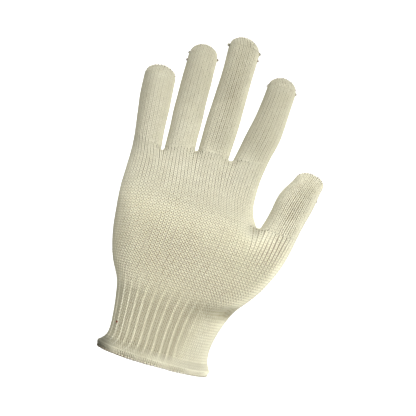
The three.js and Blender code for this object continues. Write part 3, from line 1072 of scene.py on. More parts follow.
class KnitTree:
    """Geometry nodes that lay a stitch on each cell of a chart."""

    # A cell's axes are measured between points so far from its middle, in cells.
    REACH = 0.4
    # Yarn has its full radius where a cell is this wide, and at least and at most these shares.
    FULL_WIDTH = 2.3 * MM
    THINNEST = 0.62
    THICKEST = 1.20
    # From stitch to stitch its radius varies by this share.
    UNEVEN = 0.16
    # Every so many wales there is a rib. Its wale is drawn together by the first share, the wales
    # beside it sink by the second, and their yarn is thinner by the last.
    PERIOD = 3.0
    RIB_NARROW = 0.10
    RIB_SINK = 0.45
    VALLEY_SLIM = 0.28
    # Yarn is flattened to at least this share of its thickness where the cloth has no relief.
    FLATTEST = 0.4
    # What is added to the seed for each of a stitch's random draws.
    ASIDE, ALONG, TONE, GIRTH = 1, 2, 3, 4

    INPUTS = (
        ("Stitch", "NodeSocketObject"),
        ("Columns", "NodeSocketInt"),
        ("Rows", "NodeSocketInt"),
        ("First column", "NodeSocketFloat"),
        ("First row", "NodeSocketFloat"),
        ("Yarn radius", "NodeSocketFloat"),
        ("Rib height", "NodeSocketFloat"),
        ("Jitter", "NodeSocketFloat"),
        ("Seed", "NodeSocketInt"),
        ("Material", "NodeSocketMaterial"),
    )

    def __init__(self) -> None:
        self.tree = bpy.data.node_groups.new("knit", "GeometryNodeTree")
        face = self.tree.interface
        face.new_socket("Geometry", in_out="OUTPUT", socket_type="NodeSocketGeometry")
        face.new_socket("Geometry", in_out="INPUT", socket_type="NodeSocketGeometry")
        for name, kind in self.INPUTS:
            face.new_socket(name, in_out="INPUT", socket_type=kind)
        self.given = self._add("NodeGroupInput").node.outputs
        self._place(*self._cells())

    def _add(self, kind: str, inputs: tuple | dict = (), **settings: object) -> Socket | None:
        return add_node(self.tree, kind, inputs, **settings)

    def _named(self, name: str, kind: str = "FLOAT_VECTOR") -> Socket:
        return self._add("GeometryNodeInputNamedAttribute", {"Name": name}, data_type=kind)

    def _sample(self, kind: str, value: Socket, cell: Socket) -> Socket:
        """Reads a value of the given surface.

        Args:
            kind: the value's data type.
            value: the value.
            cell: the place on the chart, in cells.

        Returns:
            The value there. The second output of its node says whether the chart covers it.
        """
        margin = (CHART_MARGIN, CHART_MARGIN, 0.0)
        moved = self._add(VECTOR_MATH, (cell, margin), operation="ADD")
        return self._add("GeometryNodeSampleUVSurface", {
            "Mesh": self.given["Geometry"],
            "Value": value,
            "Source UV Map": self._named("chart"),
            "Sample UV": self._add(VECTOR_MATH, (moved, 1 / CHART_CELLS), operation="SCALE"),
        }, data_type=kind)

    def _slope(self, cell: Socket, here: Socket, step: tuple[float, float]) -> Socket:
        """Measures how the surface runs over one cell in a direction.

        Args:
            cell: the cell's middle.
            here: the surface's point there.
            step: the direction on the chart.

        Returns:
            The run of a whole cell, one-sided where the chart ends.
        """
        ends, covered = [], []
        for reach in (self.REACH, -self.REACH):
            offset = (reach * step[0], reach * step[1], 0.0)
            spot = self._add(VECTOR_MATH, (cell, offset), operation="ADD")
            value = self._sample("FLOAT_VECTOR", self._add("GeometryNodeInputPosition"), spot)
            covered.append(value.node.outputs["Is Valid"])
            inputs = (covered[-1], here, value)
            ends.append(self._add("GeometryNodeSwitch", inputs, input_type="VECTOR"))
        sides = self._add(MATH, tuple(covered), operation="ADD")
        sides = self._add(MATH, (sides, 1.0), operation="MAXIMUM")
        share = self._add(MATH, (1 / self.REACH, sides), operation="DIVIDE")
        run = self._add(VECTOR_MATH, tuple(ends), operation="SUBTRACT")
        return self._add(VECTOR_MATH, (run, share), operation="SCALE")

    def _pulled(self, name: str) -> Socket:
        """Reads a stitch's value, eased to the pulled one as far as the cloth is pulled there."""
        ends = (self._named("pull", "FLOAT"), self._named(name), self._named(f"pulled_{name}"))
        return self._add(MIX, ends, data_type="VECTOR")

    def _random(self, salt: int) -> Socket:
        seed = self._add(MATH, (self.given["Seed"], float(salt)), operation="ADD")
        return self._add("FunctionNodeRandomValue", {"Seed": seed}, data_type="FLOAT")

    def _product(self, *factors: Socket) -> Socket:
        """Multiplies some numbers, from the first on."""
        total = factors[0]
        for factor in factors[1:]:
            total = self._add(MATH, (total, factor), operation="MULTIPLY")
        return total

    def _cells(self) -> tuple[Socket, Socket]:
        """Makes a point for each cell, with what its stitch needs.

        Returns:
            The points, and which of them the chart covers.
        """
        given = self.given
        counts = given["Columns"], given["Rows"]
        spans = [self._add(MATH, (count, 1.0), operation="SUBTRACT") for count in counts]
        geometry = self._add("GeometryNodeMeshGrid", (*spans, *counts))
        middles = []
        for span, first in zip(spans, (given["First column"], given["First row"])):
            middle = self._add(MATH, (span, 0.5, first), operation="MULTIPLY_ADD")
            middles.append(self._add(MATH, (middle, 0.5), operation="ADD"))
        corner, shift = self._add("GeometryNodeInputPosition"), self._add(COMBINE, tuple(middles))
        cell = self._add(VECTOR_MATH, (corner, shift), operation="ADD")
        position = self._add("GeometryNodeInputPosition")
        origin = self._sample("FLOAT_VECTOR", position, cell)
        outward = self._sample("FLOAT_VECTOR", self._named("outward"), cell)
        rib, girth, relief, pull, drawn = (
            self._sample("FLOAT", self._named(name, "FLOAT"), cell)
            for name in ("rib", "girth", "relief", "pull", "drawn")
        )
        across, along = (self._slope(cell, origin, step) for step in ((1.0, 0.0), (0.0, 1.0)))

        # A rib stands up and draws together, and the wales beside it sink.
        column = self._add(MATH, (self._add(SEPARATE, (cell,)),), operation="FLOOR")
        turn = self._add(MATH, (column, self.PERIOD), operation="FLOORED_MODULO")
        ridge = self._add(MATH, (turn, 1.0, 0.5), operation="COMPARE")
        step = (ridge, 1 + self.RIB_SINK, -self.RIB_SINK)
        level = self._add(MATH, step, operation="MULTIPLY_ADD")
        ribbed = self._product(ridge, rib)
        narrow = self._add(MATH, (ribbed, -self.RIB_NARROW, 1.0), operation="MULTIPLY_ADD")
        valley = self._add(MATH, (rib, ribbed), operation="SUBTRACT")

        width = self._add(VECTOR_MATH, (across,), operation="LENGTH")
        for operation, value in (
            ("DIVIDE", self.FULL_WIDTH), ("MAXIMUM", self.THINNEST), ("MINIMUM", self.THICKEST),
        ):
            width = self._add(MATH, (width, value), operation=operation)
        draw = (self._random(self.GIRTH), self.UNEVEN, 1 - self.UNEVEN / 2)
        uneven = self._add(MATH, draw, operation="MULTIPLY_ADD")
        slim = self._add(MATH, (valley, -self.VALLEY_SLIM, 1.0), operation="MULTIPLY_ADD")
        wobble = self._add(COMBINE, tuple(
            self._add(MATH, (self._random(salt), 0.5), operation="SUBTRACT")
            for salt in (self.ASIDE, self.ALONG)
        ))
        for name, value in {
            "origin": origin,
            "across": across,
            "along": along,
            "outward": outward,
            "wobble": self._add(VECTOR_MATH, (wobble, given["Jitter"]), operation="SCALE"),
            "level": self._product(level, rib, given["Rib height"]),
            "narrow": self._add(MATH, (narrow, drawn), operation="SUBTRACT"),
            "radius": self._product(girth, width, given["Yarn radius"], uneven, slim),
            "tone": self._random(self.TONE),
            "valley": valley,
            "relief": relief,
            "pull": pull,
        }.items():
            kind = "FLOAT_VECTOR" if value.type == "VECTOR" else "FLOAT"
            inputs = {"Geometry": geometry, "Name": name, "Value": value}
            geometry = self._add("GeometryNodeStoreNamedAttribute", inputs, data_type=kind)
        return geometry, origin.node.outputs["Is Valid"]

    def _place(self, cells: Socket, covered: Socket) -> None:
        """Puts the stitch on each covered cell and bends it into the surface."""
        stitch = self._add("GeometryNodeObjectInfo", {"Object": self.given["Stitch"]})
        placed = self._add("GeometryNodeInstanceOnPoints", {
            "Points": cells,
            "Selection": covered,
            "Instance": stitch.node.outputs["Geometry"],
        })
        real = self._add("GeometryNodeRealizeInstances", {"Geometry": placed})
        run = (self._pulled("path"), self._named("wobble"))
        run = self._add(VECTOR_MATH, run, operation="ADD")
        path, around = (
            self._add(SEPARATE, (vector,)).node.outputs for vector in (run, self._pulled("around"))
        )
        radius, narrow, relief, level = (
            self._named(name, "FLOAT") for name in ("radius", "narrow", "relief", "level")
        )
        flattened = (relief, 1 - self.FLATTEST, self.FLATTEST)
        thick = self._add(MATH, flattened, operation="MULTIPLY_ADD")
        height = (self._product(around[2], thick), radius, self._product(path[2], relief))
        height = self._add(MATH, height, operation="MULTIPLY_ADD")
        spot = self._named("origin")
        for direction, amount in (
            (self._named("across"), self._product(path[0], narrow)),
            (self._named("along"), path[1]),
            (self._named("outward"), self._add(MATH, (height, level), operation="ADD")),
            (
                self._add(VECTOR_MATH, (self._named("across"),), operation="NORMALIZE"),
                self._product(around[0], radius),
            ),
        ):
            offset = self._add(VECTOR_MATH, (direction, amount), operation="SCALE")
            spot = self._add(VECTOR_MATH, (spot, offset), operation="ADD")
        geometry = self._add("GeometryNodeSetPosition", {"Geometry": real, "Position": spot})
        for name in (
            "origin", "across", "along", "wobble", "level", "narrow", "radius", "path", "around",
            "pull", "pulled_path", "pulled_around",
        ):
            inputs = {"Geometry": geometry, "Name": name}
            geometry = self._add("GeometryNodeRemoveAttribute", inputs)
        inputs = {"Geometry": geometry, "Material": self.given["Material"]}
        self._add("NodeGroupOutput", (self._add("GeometryNodeSetMaterial", inputs),))

    def lay(
        self, surface: bpy.types.Object, name: str, values: dict[str, object],
    ) -> bpy.types.Object:
        """Runs the tree on a surface and keeps the result as a plain mesh.

        Args:
            surface: the charted object, which is removed.
            name: the new piece's name.
            values: input name to value.

        Returns:
            The stitched piece.
        """
        modifier = surface.modifiers.new("knit", "NODES")
        modifier.node_group = self.tree
        for item in self.tree.interface.items_tree:
            if item.in_out == "INPUT" and item.name in values:
                modifier[item.identifier] = values[item.name]
        graph = bpy.context.evaluated_depsgraph_get()
        mesh = bpy.data.meshes.new_from_object(surface.evaluated_get(graph))
        mesh.name = name
        bpy.data.objects.remove(surface)
        return new_object(name, mesh)


def new_material(name: str) -> tuple[bpy.types.Material, bpy.types.NodeTree]:
    """Makes a material with an empty tree."""
    material = bpy.data.materials.new(name)
    material.use_nodes = True
    material.node_tree.nodes.clear()
    return material, material.node_tree


def painted(
    tree: bpy.types.NodeTree, colour: str | Socket, *layers: tuple[Socket, str | Socket],
) -> Socket:
    """Lays colours over one another.

    Args:
        tree: the material's tree.
        colour: the ground.
        layers: how strongly each layer covers what is under it, and its colour.

    Returns:
        The colour that shows.
    """
    for share, layer in layers:
        colour = add_node(tree, MIX, (share, colour, layer), data_type="RGBA")
    return colour


@dataclass(frozen=True)
class ShadeStreak:
    """A streak of painted shade on the palm side, in millimetres: it fades out at its reach."""

    start: tuple[float, float]
    end: tuple[float, float]
    reach: float
    most: float

    def amount(self, tree: bpy.types.NodeTree, flat: Socket) -> Socket:
        """Says how strong the painted shade is at a place seen from the palm, from 0 to the most.
        """
        start, end = (Vector((x, 0.0, z)) * MM for x, z in (self.start, self.end))
        line = end - start
        offset = add_node(tree, VECTOR_MATH, (flat, start), operation="SUBTRACT")
        inputs = (offset, line / line.length_squared)
        share = add_node(tree, VECTOR_MATH, inputs, operation="DOT_PRODUCT")
        share = add_node(tree, MATH, (share, 1.0), operation="MULTIPLY", use_clamp=True)
        nearest = add_node(tree, VECTOR_MATH, (line, share), operation="SCALE")
        away = add_node(tree, VECTOR_MATH, (offset, nearest), operation="DISTANCE")
        inputs = (away, self.reach * MM, 0.0, 0.0, self.most)
        return add_node(tree, RAMP, inputs, interpolation_type="SMOOTHSTEP")


# Painted shade greys the fold at the thumb's root, the hem's corner, the fingers to their tips,
# and the edges of the palm and the cuff on the little finger's side.
SHADE_STREAKS = [
    ShadeStreak((36.0, 46.2), (48.0, 47.6), 10.0, 0.66),
    ShadeStreak((26.0, 45.6), (40.0, 46.4), 10.5, 0.50),
    ShadeStreak((18.0, 44.6), (30.0, 45.6), 12.0, 0.30),
    ShadeStreak((-40.0, 2.0), (-14.0, 2.0), 14.0, 0.28),
    ShadeStreak((1.0, 163.0), (1.0, 192.0), 17.0, 0.30),
    ShadeStreak((-2.0, 196.0), (-1.0, 228.0), 18.0, 0.40),
    ShadeStreak((26.0, 166.0), (32.0, 210.0), 17.0, 0.30),
    ShadeStreak((-27.0, 192.0), (-28.0, 218.0), 16.0, 0.20),
    ShadeStreak((-18.0, 176.0), (-18.5, 204.0), 7.0, 0.18),
    ShadeStreak((64.0, 131.0), (69.0, 148.0), 14.0, 0.25),
    ShadeStreak((-48.0, 56.0), (-58.0, 96.0), 17.0, 0.36),
    ShadeStreak((-38.0, 14.0), (-40.0, 42.0), 12.0, 0.26),
]
# The colour of the painted shade.
SHADE_STREAK_COLOUR = "#878062"
# They fade in towards the palm side between these depths, in millimetres.
SHADE_STREAK_SIDE = (4.0, -3.0)
# A speck of rust on the cuff, seen from the palm, in millimetres.
FLECK = Vector((-33.5, 0.0, 20.2))
FLECK_RADIUS = 0.8
FLECK_COLOUR = "#8a3414"


@dataclass(frozen=True)
class WearAndShade:
    """The marks of use on the cloth, and its painted shade, in a material's tree."""

    tree: bpy.types.NodeTree

    def _place(self) -> tuple[Socket, Socket]:
        """Gives the place as it is seen from the palm, and its depth."""
        place = add_node(self.tree, "ShaderNodeTexCoord").node.outputs["Object"]
        x, y, z = add_node(self.tree, SEPARATE, (place,)).node.outputs
        return add_node(self.tree, COMBINE, (x, 0.0, z)), y

    def shade_streaks(self) -> Socket:
        """Says how strong the painted shade is, from 0 to 1."""
        flat, depth = self._place()
        total, *others = (shade_streak.amount(self.tree, flat) for shade_streak in SHADE_STREAKS)
        for other in others:
            total = add_node(self.tree, MATH, (total, other), operation="MAXIMUM")
        inputs = (depth, *(edge * MM for edge in SHADE_STREAK_SIDE))
        front = add_node(self.tree, RAMP, inputs, interpolation_type="SMOOTHSTEP")
        return add_node(self.tree, MATH, (total, front), operation="MULTIPLY")

    def fleck(self) -> Socket:
        """Gives 1 on the speck of rust and 0 elsewhere."""
        flat, depth = self._place()
        away = add_node(self.tree, VECTOR_MATH, (flat, FLECK * MM), operation="DISTANCE")
        near = add_node(self.tree, MATH, (away, FLECK_RADIUS * MM), operation="LESS_THAN")
        front = add_node(self.tree, MATH, (depth, 0.0), operation="LESS_THAN")
        return add_node(self.tree, MATH, (near, front), operation="MULTIPLY")

    def soil_and_shade(self, *ramps: tuple[int, float, float, float]) -> Socket:
        """Greys the hem's corner on the little finger's side with soil and painted shade, and the
        edge that it stands on with painted shade.

        Args:
            ramps: the rows of YarnFinish.soil.

        Returns:
            How soiled and shaded the cloth is, from 0 to 1.
        """
        flat, _ = self._place()
        axes = add_node(self.tree, SEPARATE, (flat,)).node.outputs
        out, low, under = (
            add_node(
                self.tree, RAMP, (axes[axis], begin * MM, full * MM, 0.0, most),
                interpolation_type="SMOOTHSTEP",
            )
            for axis, begin, full, most in ramps
        )
        # The corner is soil with painted shade, and the edge under the lip is painted shade.
        corner = add_node(self.tree, MATH, (out, low), operation="MULTIPLY")
        return add_node(self.tree, MATH, (corner, under), operation="MAXIMUM")


@dataclass(frozen=True)
class YarnFinish:
    """Undyed cotton and polyester yarn, spun soft and plied.

    It is matt with a faint nap, cream where full, greyed by painted shade where it sinks and
    between the ribs.
    """

    name: str = "cotton_yarn"
    light: str = "#f5f2db"
    dark: str = "#e8e3c8"
    # The sunk and valley colours are painted shade.
    sunk: str = "#b2ac8f"
    valley: str = "#9f9a70"
    soil_and_shade_colour: str = "#40433f"
    # Clouds of tone lie 14 mm apart. A stitch differs by so much of them, and the sum is lowered.
    cloud_scale: float = 70.0
    tone_share: float = 0.5
    tone_drop: float = 0.28
    # How far the painted shade of the valleys and of sunk yarn shows.
    valley_shade_share: float = 0.35
    sunk_shade_share: float = 0.75
    # Flat cloth gets this share of even painted shade, the sooner the smaller the power.
    pulled: float = 0.75
    flat_shade_power: float = 3.0
    # Two plies twist round each other, under a fuzz of fibres 0.3 mm apart.
    ply_height: float = 0.3
    fibre_scale: float = 3300.0
    bump: float = 0.6
    bump_height: float = 0.08 * MM
    # The nap of flat cloth, worn off towards the edges between these slants to the last share.
    nap: float = 1.25
    edge_slants: tuple[float, float] = (0.55, 0.95)
    edge_nap: float = 0.60
    fuzz: float = 0.35
    fuzz_roughness: float = 0.5
    roughness: float = 0.92
    # The soil and painted shade of the hem's corner, across and upwards, and the painted shade of
    # the edge under it: the number of the axis, where it begins and is full, in millimetres, and
    # how strong it gets.
    soil_and_shade: tuple[tuple[int, float, float, float], ...] = (
        (0, -26.0, -42.0, 0.95), (2, 12.0, 4.0, 1.0), (2, 0.4, -1.2, 0.7),
    )

    def build(self) -> bpy.types.Material:
        """Makes the material."""
        material, tree = new_material(self.name)
        tone, valley, shade, relief = (
            add_node(tree, "ShaderNodeAttribute", attribute_name=name).node.outputs["Fac"]
            for name in ("tone", "valley", "shade", "relief")
        )
        place = add_node(tree, "ShaderNodeTexCoord").node.outputs["Object"]
        inputs = {"Vector": place, "Scale": self.cloud_scale, "Detail": 3.0}
        cloud = add_node(tree, "ShaderNodeTexNoise", inputs)
        amount = add_node(tree, MATH, (tone, self.tone_share, cloud), operation="MULTIPLY_ADD")
        amount = add_node(tree, MATH, (amount, self.tone_drop), operation="SUBTRACT")
        # The wales in the valleys between the ribs are painted in shade.
        low = add_node(tree, MATH, (valley, self.valley_shade_share), operation="MULTIPLY")
        inputs = (shade, self.sunk_shade_share)
        shade = add_node(tree, MATH, inputs, operation="MULTIPLY", use_clamp=True)
        # Cloth pulled flat gets an even painted shade, instead of painted light and shade in turn.
        flat = add_node(tree, MATH, (1.0, relief), operation="SUBTRACT")
        even = add_node(tree, MATH, (flat, self.flat_shade_power), operation="POWER")
        even = add_node(tree, MATH, (even, self.pulled), operation="MULTIPLY")
        deep_shade = add_node(tree, MATH, (shade, relief, even), operation="MULTIPLY_ADD")
        wear_and_shade = WearAndShade(tree)
        colour = painted(
            tree, self.dark, (amount, self.light), (low, self.valley), (deep_shade, self.sunk),
            (wear_and_shade.soil_and_shade(*self.soil_and_shade), self.soil_and_shade_colour), (wear_and_shade.shade_streaks(), SHADE_STREAK_COLOUR),
            (wear_and_shade.fleck(), FLECK_COLOUR),
        )
        shader = add_node(tree, "ShaderNodeBsdfPrincipled", {
            "Base Color": colour,
            "Roughness": self.roughness,
            "Sheen Weight": self.fuzz,
            "Sheen Roughness": self.fuzz_roughness,
            "Sheen Tint": self.light,
            "Normal": self._facing(tree, place, flat),
        })
        add_node(tree, "ShaderNodeOutputMaterial", (shader,))
        return material

    def _facing(self, tree: bpy.types.NodeTree, place: Socket, flat: Socket) -> Socket:
        """Turns the surface to the light: yarn by yarn, or as one nap where the cloth is flat.

        Args:
            tree: the material's tree.
            place: the place on the object.
            flat: how flat the cloth is there.

        Returns:
            The direction in which the surface faces.
        """
        twist, outward = (
            add_node(tree, "ShaderNodeAttribute", attribute_name=name).node.outputs[output]
            for name, output in (("twist", "Fac"), ("outward", "Vector"))
        )
        plies = add_node(tree, MATH, (twist, math.tau), operation="MULTIPLY")
        plies = add_node(tree, MATH, (plies,), operation="SINE")
        inputs = {"Vector": place, "Scale": self.fibre_scale, "Detail": 2.0}
        fibre = add_node(tree, "ShaderNodeTexNoise", inputs)
        height = add_node(tree, MATH, (plies, self.ply_height, fibre), operation="MULTIPLY_ADD")
        inputs = {"Height": height, "Strength": self.bump, "Distance": self.bump_height}
        bump = add_node(tree, "ShaderNodeBump", inputs)
        nap = add_node(tree, MATH, (flat, self.nap), operation="MULTIPLY", use_clamp=True)
        aside = add_node(tree, MATH, (add_node(tree, SEPARATE, (outward,)),), operation="ABSOLUTE")
        rubbed = add_node(tree, RAMP, (aside, *self.edge_slants, 1.0, self.edge_nap))
        nap = add_node(tree, MATH, (nap, rubbed), operation="MULTIPLY")
        facing = add_node(tree, MIX, (nap, bump, outward), data_type="VECTOR")
        return add_node(tree, VECTOR_MATH, (facing,), operation="NORMALIZE")


@dataclass(frozen=True)
class BackingFinish:
    """The loops at the back of the knit, painted tan to brown as the shade between the stitches.

    On the inside each stitch shows as two half rings, half a course apart.
    """

    name: str = "knit_back"
    tight: str = "#b8af92"
    loose: str = "#7c5c4e"
    inside: str = "#d6d1b4"
    swing: float = 0.5
    contrast: float = 0.2
    bump: float = 0.9
    bump_height: float = 0.35 * MM
    roughness: float = 0.95

    def build(self) -> bpy.types.Material:
        """Makes the material."""
        material, tree = new_material(self.name)
        chart = add_node(tree, "ShaderNodeUVMap", uv_map="chart")
        inner, spread = (
            add_node(tree, "ShaderNodeAttribute", attribute_name=name).node.outputs["Fac"]
            for name in ("inner", "spread")
        )
        cells = add_node(tree, VECTOR_MATH, (chart, CHART_CELLS), operation="SCALE")
        u, v, _ = add_node(tree, SEPARATE, (cells,)).node.outputs
        swing = add_node(tree, MATH, (u, math.pi), operation="MULTIPLY")
        for operation in ("SINE", "ABSOLUTE"):
            swing = add_node(tree, MATH, (swing,), operation=operation)
        wave = add_node(tree, MATH, (swing, self.swing, v), operation="MULTIPLY_ADD")
        wave = add_node(tree, MATH, (wave, math.tau), operation="MULTIPLY")
        ridge = add_node(tree, MATH, (wave,), operation="SINE")
        # The inside's ridges are painted lighter and its hollows darker, as painted light and
        # shade.
        inputs = (ridge, self.contrast, 1 - self.contrast)
        lit = add_node(tree, MATH, inputs, operation="MULTIPLY_ADD")
        inside = painted(tree, self.tight, (lit, self.inside))
        shade_streaks = WearAndShade(tree).shade_streaks()
        colour = painted(
            tree, self.tight, (spread, self.loose), (shade_streaks, SHADE_STREAK_COLOUR), (inner, inside),
        )
        inputs = {"Height": ridge, "Strength": self.bump, "Distance": self.bump_height}
        shader = add_node(tree, "ShaderNodeBsdfPrincipled", {
            "Base Color": colour,
            "Roughness": self.roughness,
            "Normal": add_node(tree, "ShaderNodeBump", inputs),
        })
        add_node(tree, "ShaderNodeOutputMaterial", (shader,))
        return material


@dataclass(frozen=True)
class ThreadFinish:
    """The brown overlock thread, thinner and harder spun than the yarn, its fibres 0.7 mm apart."""

    name: str = "brown_thread"
    dark: str = "#57442f"
    light: str = "#80684d"
    fibre_scale: float = 1500.0
    roughness: float = 0.8

    def build(self) -> bpy.types.Material:
        """Makes the material."""
        material, tree = new_material(self.name)
        place = add_node(tree, "ShaderNodeTexCoord").node.outputs["Object"]
        inputs = {"Vector": place, "Scale": self.fibre_scale}
        fibre = add_node(tree, "ShaderNodeTexNoise", inputs)
        shader = add_node(tree, "ShaderNodeBsdfPrincipled", {
            "Base Color": painted(tree, self.dark, (fibre, self.light)),
            "Roughness": self.roughness,
        })
        add_node(tree, "ShaderNodeOutputMaterial", (shader,))
        return material


def count_triangles(mesh: bpy.types.Mesh) -> int:
    """Counts a mesh's triangles."""
    return sum(len(face.vertices) - 2 for face in mesh.polygons)


@dataclass
class Workshop:
    """What every sub-assembly is made with."""

    fine: Skin
    coarse: Skin
    tree: KnitTree = field(default_factory=KnitTree)
    knit: StitchTemplate = field(default_factory=lambda: StitchTemplate(Stitch.KNIT, Stitch.LONG))
    wrap: StitchTemplate = field(default_factory=lambda: StitchTemplate(Stitch.WRAP, Stitch.WRAP))
    yarn: bpy.types.Material = field(default_factory=lambda: YarnFinish().build())
    backing: bpy.types.Material = field(default_factory=lambda: BackingFinish().build())
    thread: bpy.types.Material = field(default_factory=lambda: ThreadFinish().build())

    def keep(self, piece: bpy.types.Object) -> None:
        """Gives a finished piece to the frame."""
        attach(piece, BODY)
        log.info("%s: %d triangles", piece.name, count_triangles(piece.data))

    def clear(self) -> None:
        """Removes the stitch templates."""
        for template in (self.knit, self.wrap):
            bpy.data.objects.remove(template.made)


@dataclass
class KnittedSection:
    """A section of the glove: the back of its knit, and the stitches in front."""

    part: Part
    yarn_radius: float = 0.53
    yarn_depth: float = 0.50
    back_depth: float = 1.05
    wall: float = 1.60
    rib_height: float = 0.22
    # The girth of yarn that is spread apart most, and how far the ribs' painted shade on the back
    # counts as spread.
    loosest: float = 0.75
    rib_spread: float = 0.4
    first_row: float = 0.0
    jitter: float = 0.07
    seed_step: int = 100

    @property
    def slot(self) -> str:
        """Gives the name of the section's material slot."""
        return "overcast_edge" if self.part is Part.HEM else "cotton_knit"

    def build(self, shop: Workshop) -> None:
        """Makes the section's two pieces."""
        back = self._back(shop.coarse)
        back.data.materials.append(shop.backing)
        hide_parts(self.part.value)
        shop.keep(back)
        stitches = shop.tree.lay(self._surface(shop.fine), f"{self.part.value}_stitches", {
            "Stitch": shop.knit.made,
            "Columns": PALM_WALES + int(CHART_MARGIN),
            "Rows": int(WEB_FIRST_ROW) + WEB_COURSES,
            "First column": -CHART_MARGIN,
            "First row": self.first_row,
            "Yarn radius": self.yarn_radius * MM,
            "Rib height": self.rib_height * MM,
            "Jitter": self.jitter,
            "Seed": self.seed_step * PARTS.index(self.part),
            "Material": shop.yarn,
        })
        shop.keep(stitches)

    def _surface(self, skin: Skin) -> bpy.types.Object:
        points, outward, faces, chart = skin.section(self.part)
        relief, pull = relief_at(self.part, points, outward), pull_at(points)
        loose = 1.0 - (1.0 - self.loosest) * spread_at(points)
        drawn = np.zeros(len(points))
        if self.part in BODY_PARTS:
            drawn += PULL_DRAW * pull + ROOT_DRAW * PULL_ROOT.at(points)
        return Charted(points, outward, faces, chart, {
            "rib": rib_at(points),
            "girth": loose * (1.0 + FLAT_WIDER * (1.0 - relief)),
            "relief": relief,
            "pull": pull,
            "drawn": drawn,
        }).sunk(self.yarn_depth)

    def _back(self, skin: Skin) -> bpy.types.Object:
        """Makes the closed wall behind the stitches."""
        points, outward, faces, chart = skin.section(self.part)
        count = len(points)
        front, inside = (points - outward * depth for depth in (self.back_depth, self.wall))
        sides = {(int(f[i]), int(f[(i + 1) % 4])) for f in faces for i in range(4)}
        rims = sorted((a, b) for a, b in sides if (b, a) not in sides)
        walls = faces.tolist() + (faces[:, ::-1] + count).tolist()
        walls += [(b, a, a + count, b + count) for a, b in rims]
        chart = np.concatenate((chart, chart[:, ::-1], np.zeros((len(rims), 4, 2))))
        both = (np.concatenate((front, inside)) * MM).tolist()
        mesh = new_mesh(f"{self.part.value}_back", both, walls, chart)
        # The back is painted brown as deep shade where the stitches are spread, and in the ribs'
        # valleys.
        shown = np.maximum(spread_at(points), self.rib_spread * rib_at(points))
        store(mesh, "inner", np.repeat((0.0, 1.0), count))
        store(mesh, "spread", np.tile(shown, 2))
        return new_object(mesh.name, mesh)


@dataclass
class OvercastEdge:
    """The overlock stitches that bind the hem's edge."""

    # Rings of the hem's skin, counted from its lower edge: those between run both ways.
    top_ring: int = 9
    rings_between: tuple[int, ...] = (7, 4)
    lip_ring: int = 2
    lip_steps: int = 4
    wall: float = 2.4
    wrap_count: int = 168
    wrap_radius: float = 0.70
    wrap_depth: float = 0.3
    wrap_jitter: float = 0.16
    relief: float = 0.7
    # The loops and the thread stand out over the lip, so their depths are under 0.
    loop_count: int = 96
    loop_radius: float = 0.80
    loop_depth: float = -0.3
    thread_radius: float = 0.42
    thread_depth: float = -0.4
    loop_jitter: float = 0.2
    wrap_seed: int = 7
    loop_seed: int = 19

    def build(self, shop: Workshop) -> None:
        """Makes the wraps round the edge, the loops on its lip and the thread between them."""
        points, outward = self._profile(*shop.fine.rings(Part.HEM))
        rows = len(points) - 1
        strip = Charted.strip(points, outward, self.wrap_count, True, self.relief)
        wraps = shop.tree.lay(strip.sunk(self.wrap_depth), "hem_overcast", {
            "Stitch": shop.wrap.made,
            "Columns": self.wrap_count,
            "Rows": rows,
            "Yarn radius": self.wrap_radius * MM,
            "Jitter": self.wrap_jitter,
            "Seed": self.wrap_seed,
            "Material": shop.yarn,
        })
        shop.keep(wraps)
        low = rows // 2 - 1
        lip = Charted.strip(points[low:low + 3], outward[low:low + 3], self.loop_count, True, 1.0)
        for name, radius, first, depth, material in (
            ("hem_loops", self.loop_radius, 0.0, self.loop_depth, shop.yarn),
            ("hem_thread", self.thread_radius, 0.5, self.thread_depth, shop.thread),
        ):
            piece = shop.tree.lay(lip.sunk(depth), name, {
                "Stitch": shop.wrap.made,
                "Columns": self.loop_count,
                "Rows": 2,
                "First column": first,
                "Yarn radius": radius * MM,
                "Jitter": self.loop_jitter,
                "Seed": self.loop_seed,
                "Material": material,
            })
            shop.keep(piece)

    def _profile(self, rings: np.ndarray, outward: np.ndarray) -> tuple[np.ndarray, np.ndarray]:
        """Runs down the outside of the hem, round its lip and up the inside.

        Args:
            rings: the hem's rings of points.
            outward: their outward directions.

        Returns:
            The strip's rows of points and their outward directions.
        """
        base, facing = rings[self.lip_ring], outward[self.lip_ring]
        down = base - rings[self.lip_ring + 2]
        down /= np.linalg.norm(down, axis=1, keepdims=True)
        middle = base - facing * self.wall / 2
        outside = (self.top_ring, *self.rings_between)
        places = [rings[i] for i in outside]
        directions = [outward[i] for i in outside]
        for step in range(self.lip_steps + 1):
            angle = math.pi * step / self.lip_steps
            direction = facing * math.cos(angle) + down * math.sin(angle)
            places.append(middle + direction * self.wall / 2)
            directions.append(direction)
        for i in reversed(self.rings_between):
            places.append(rings[i] - outward[i] * self.wall)
            directions.append(-outward[i])
        return np.array(places), np.array(directions)


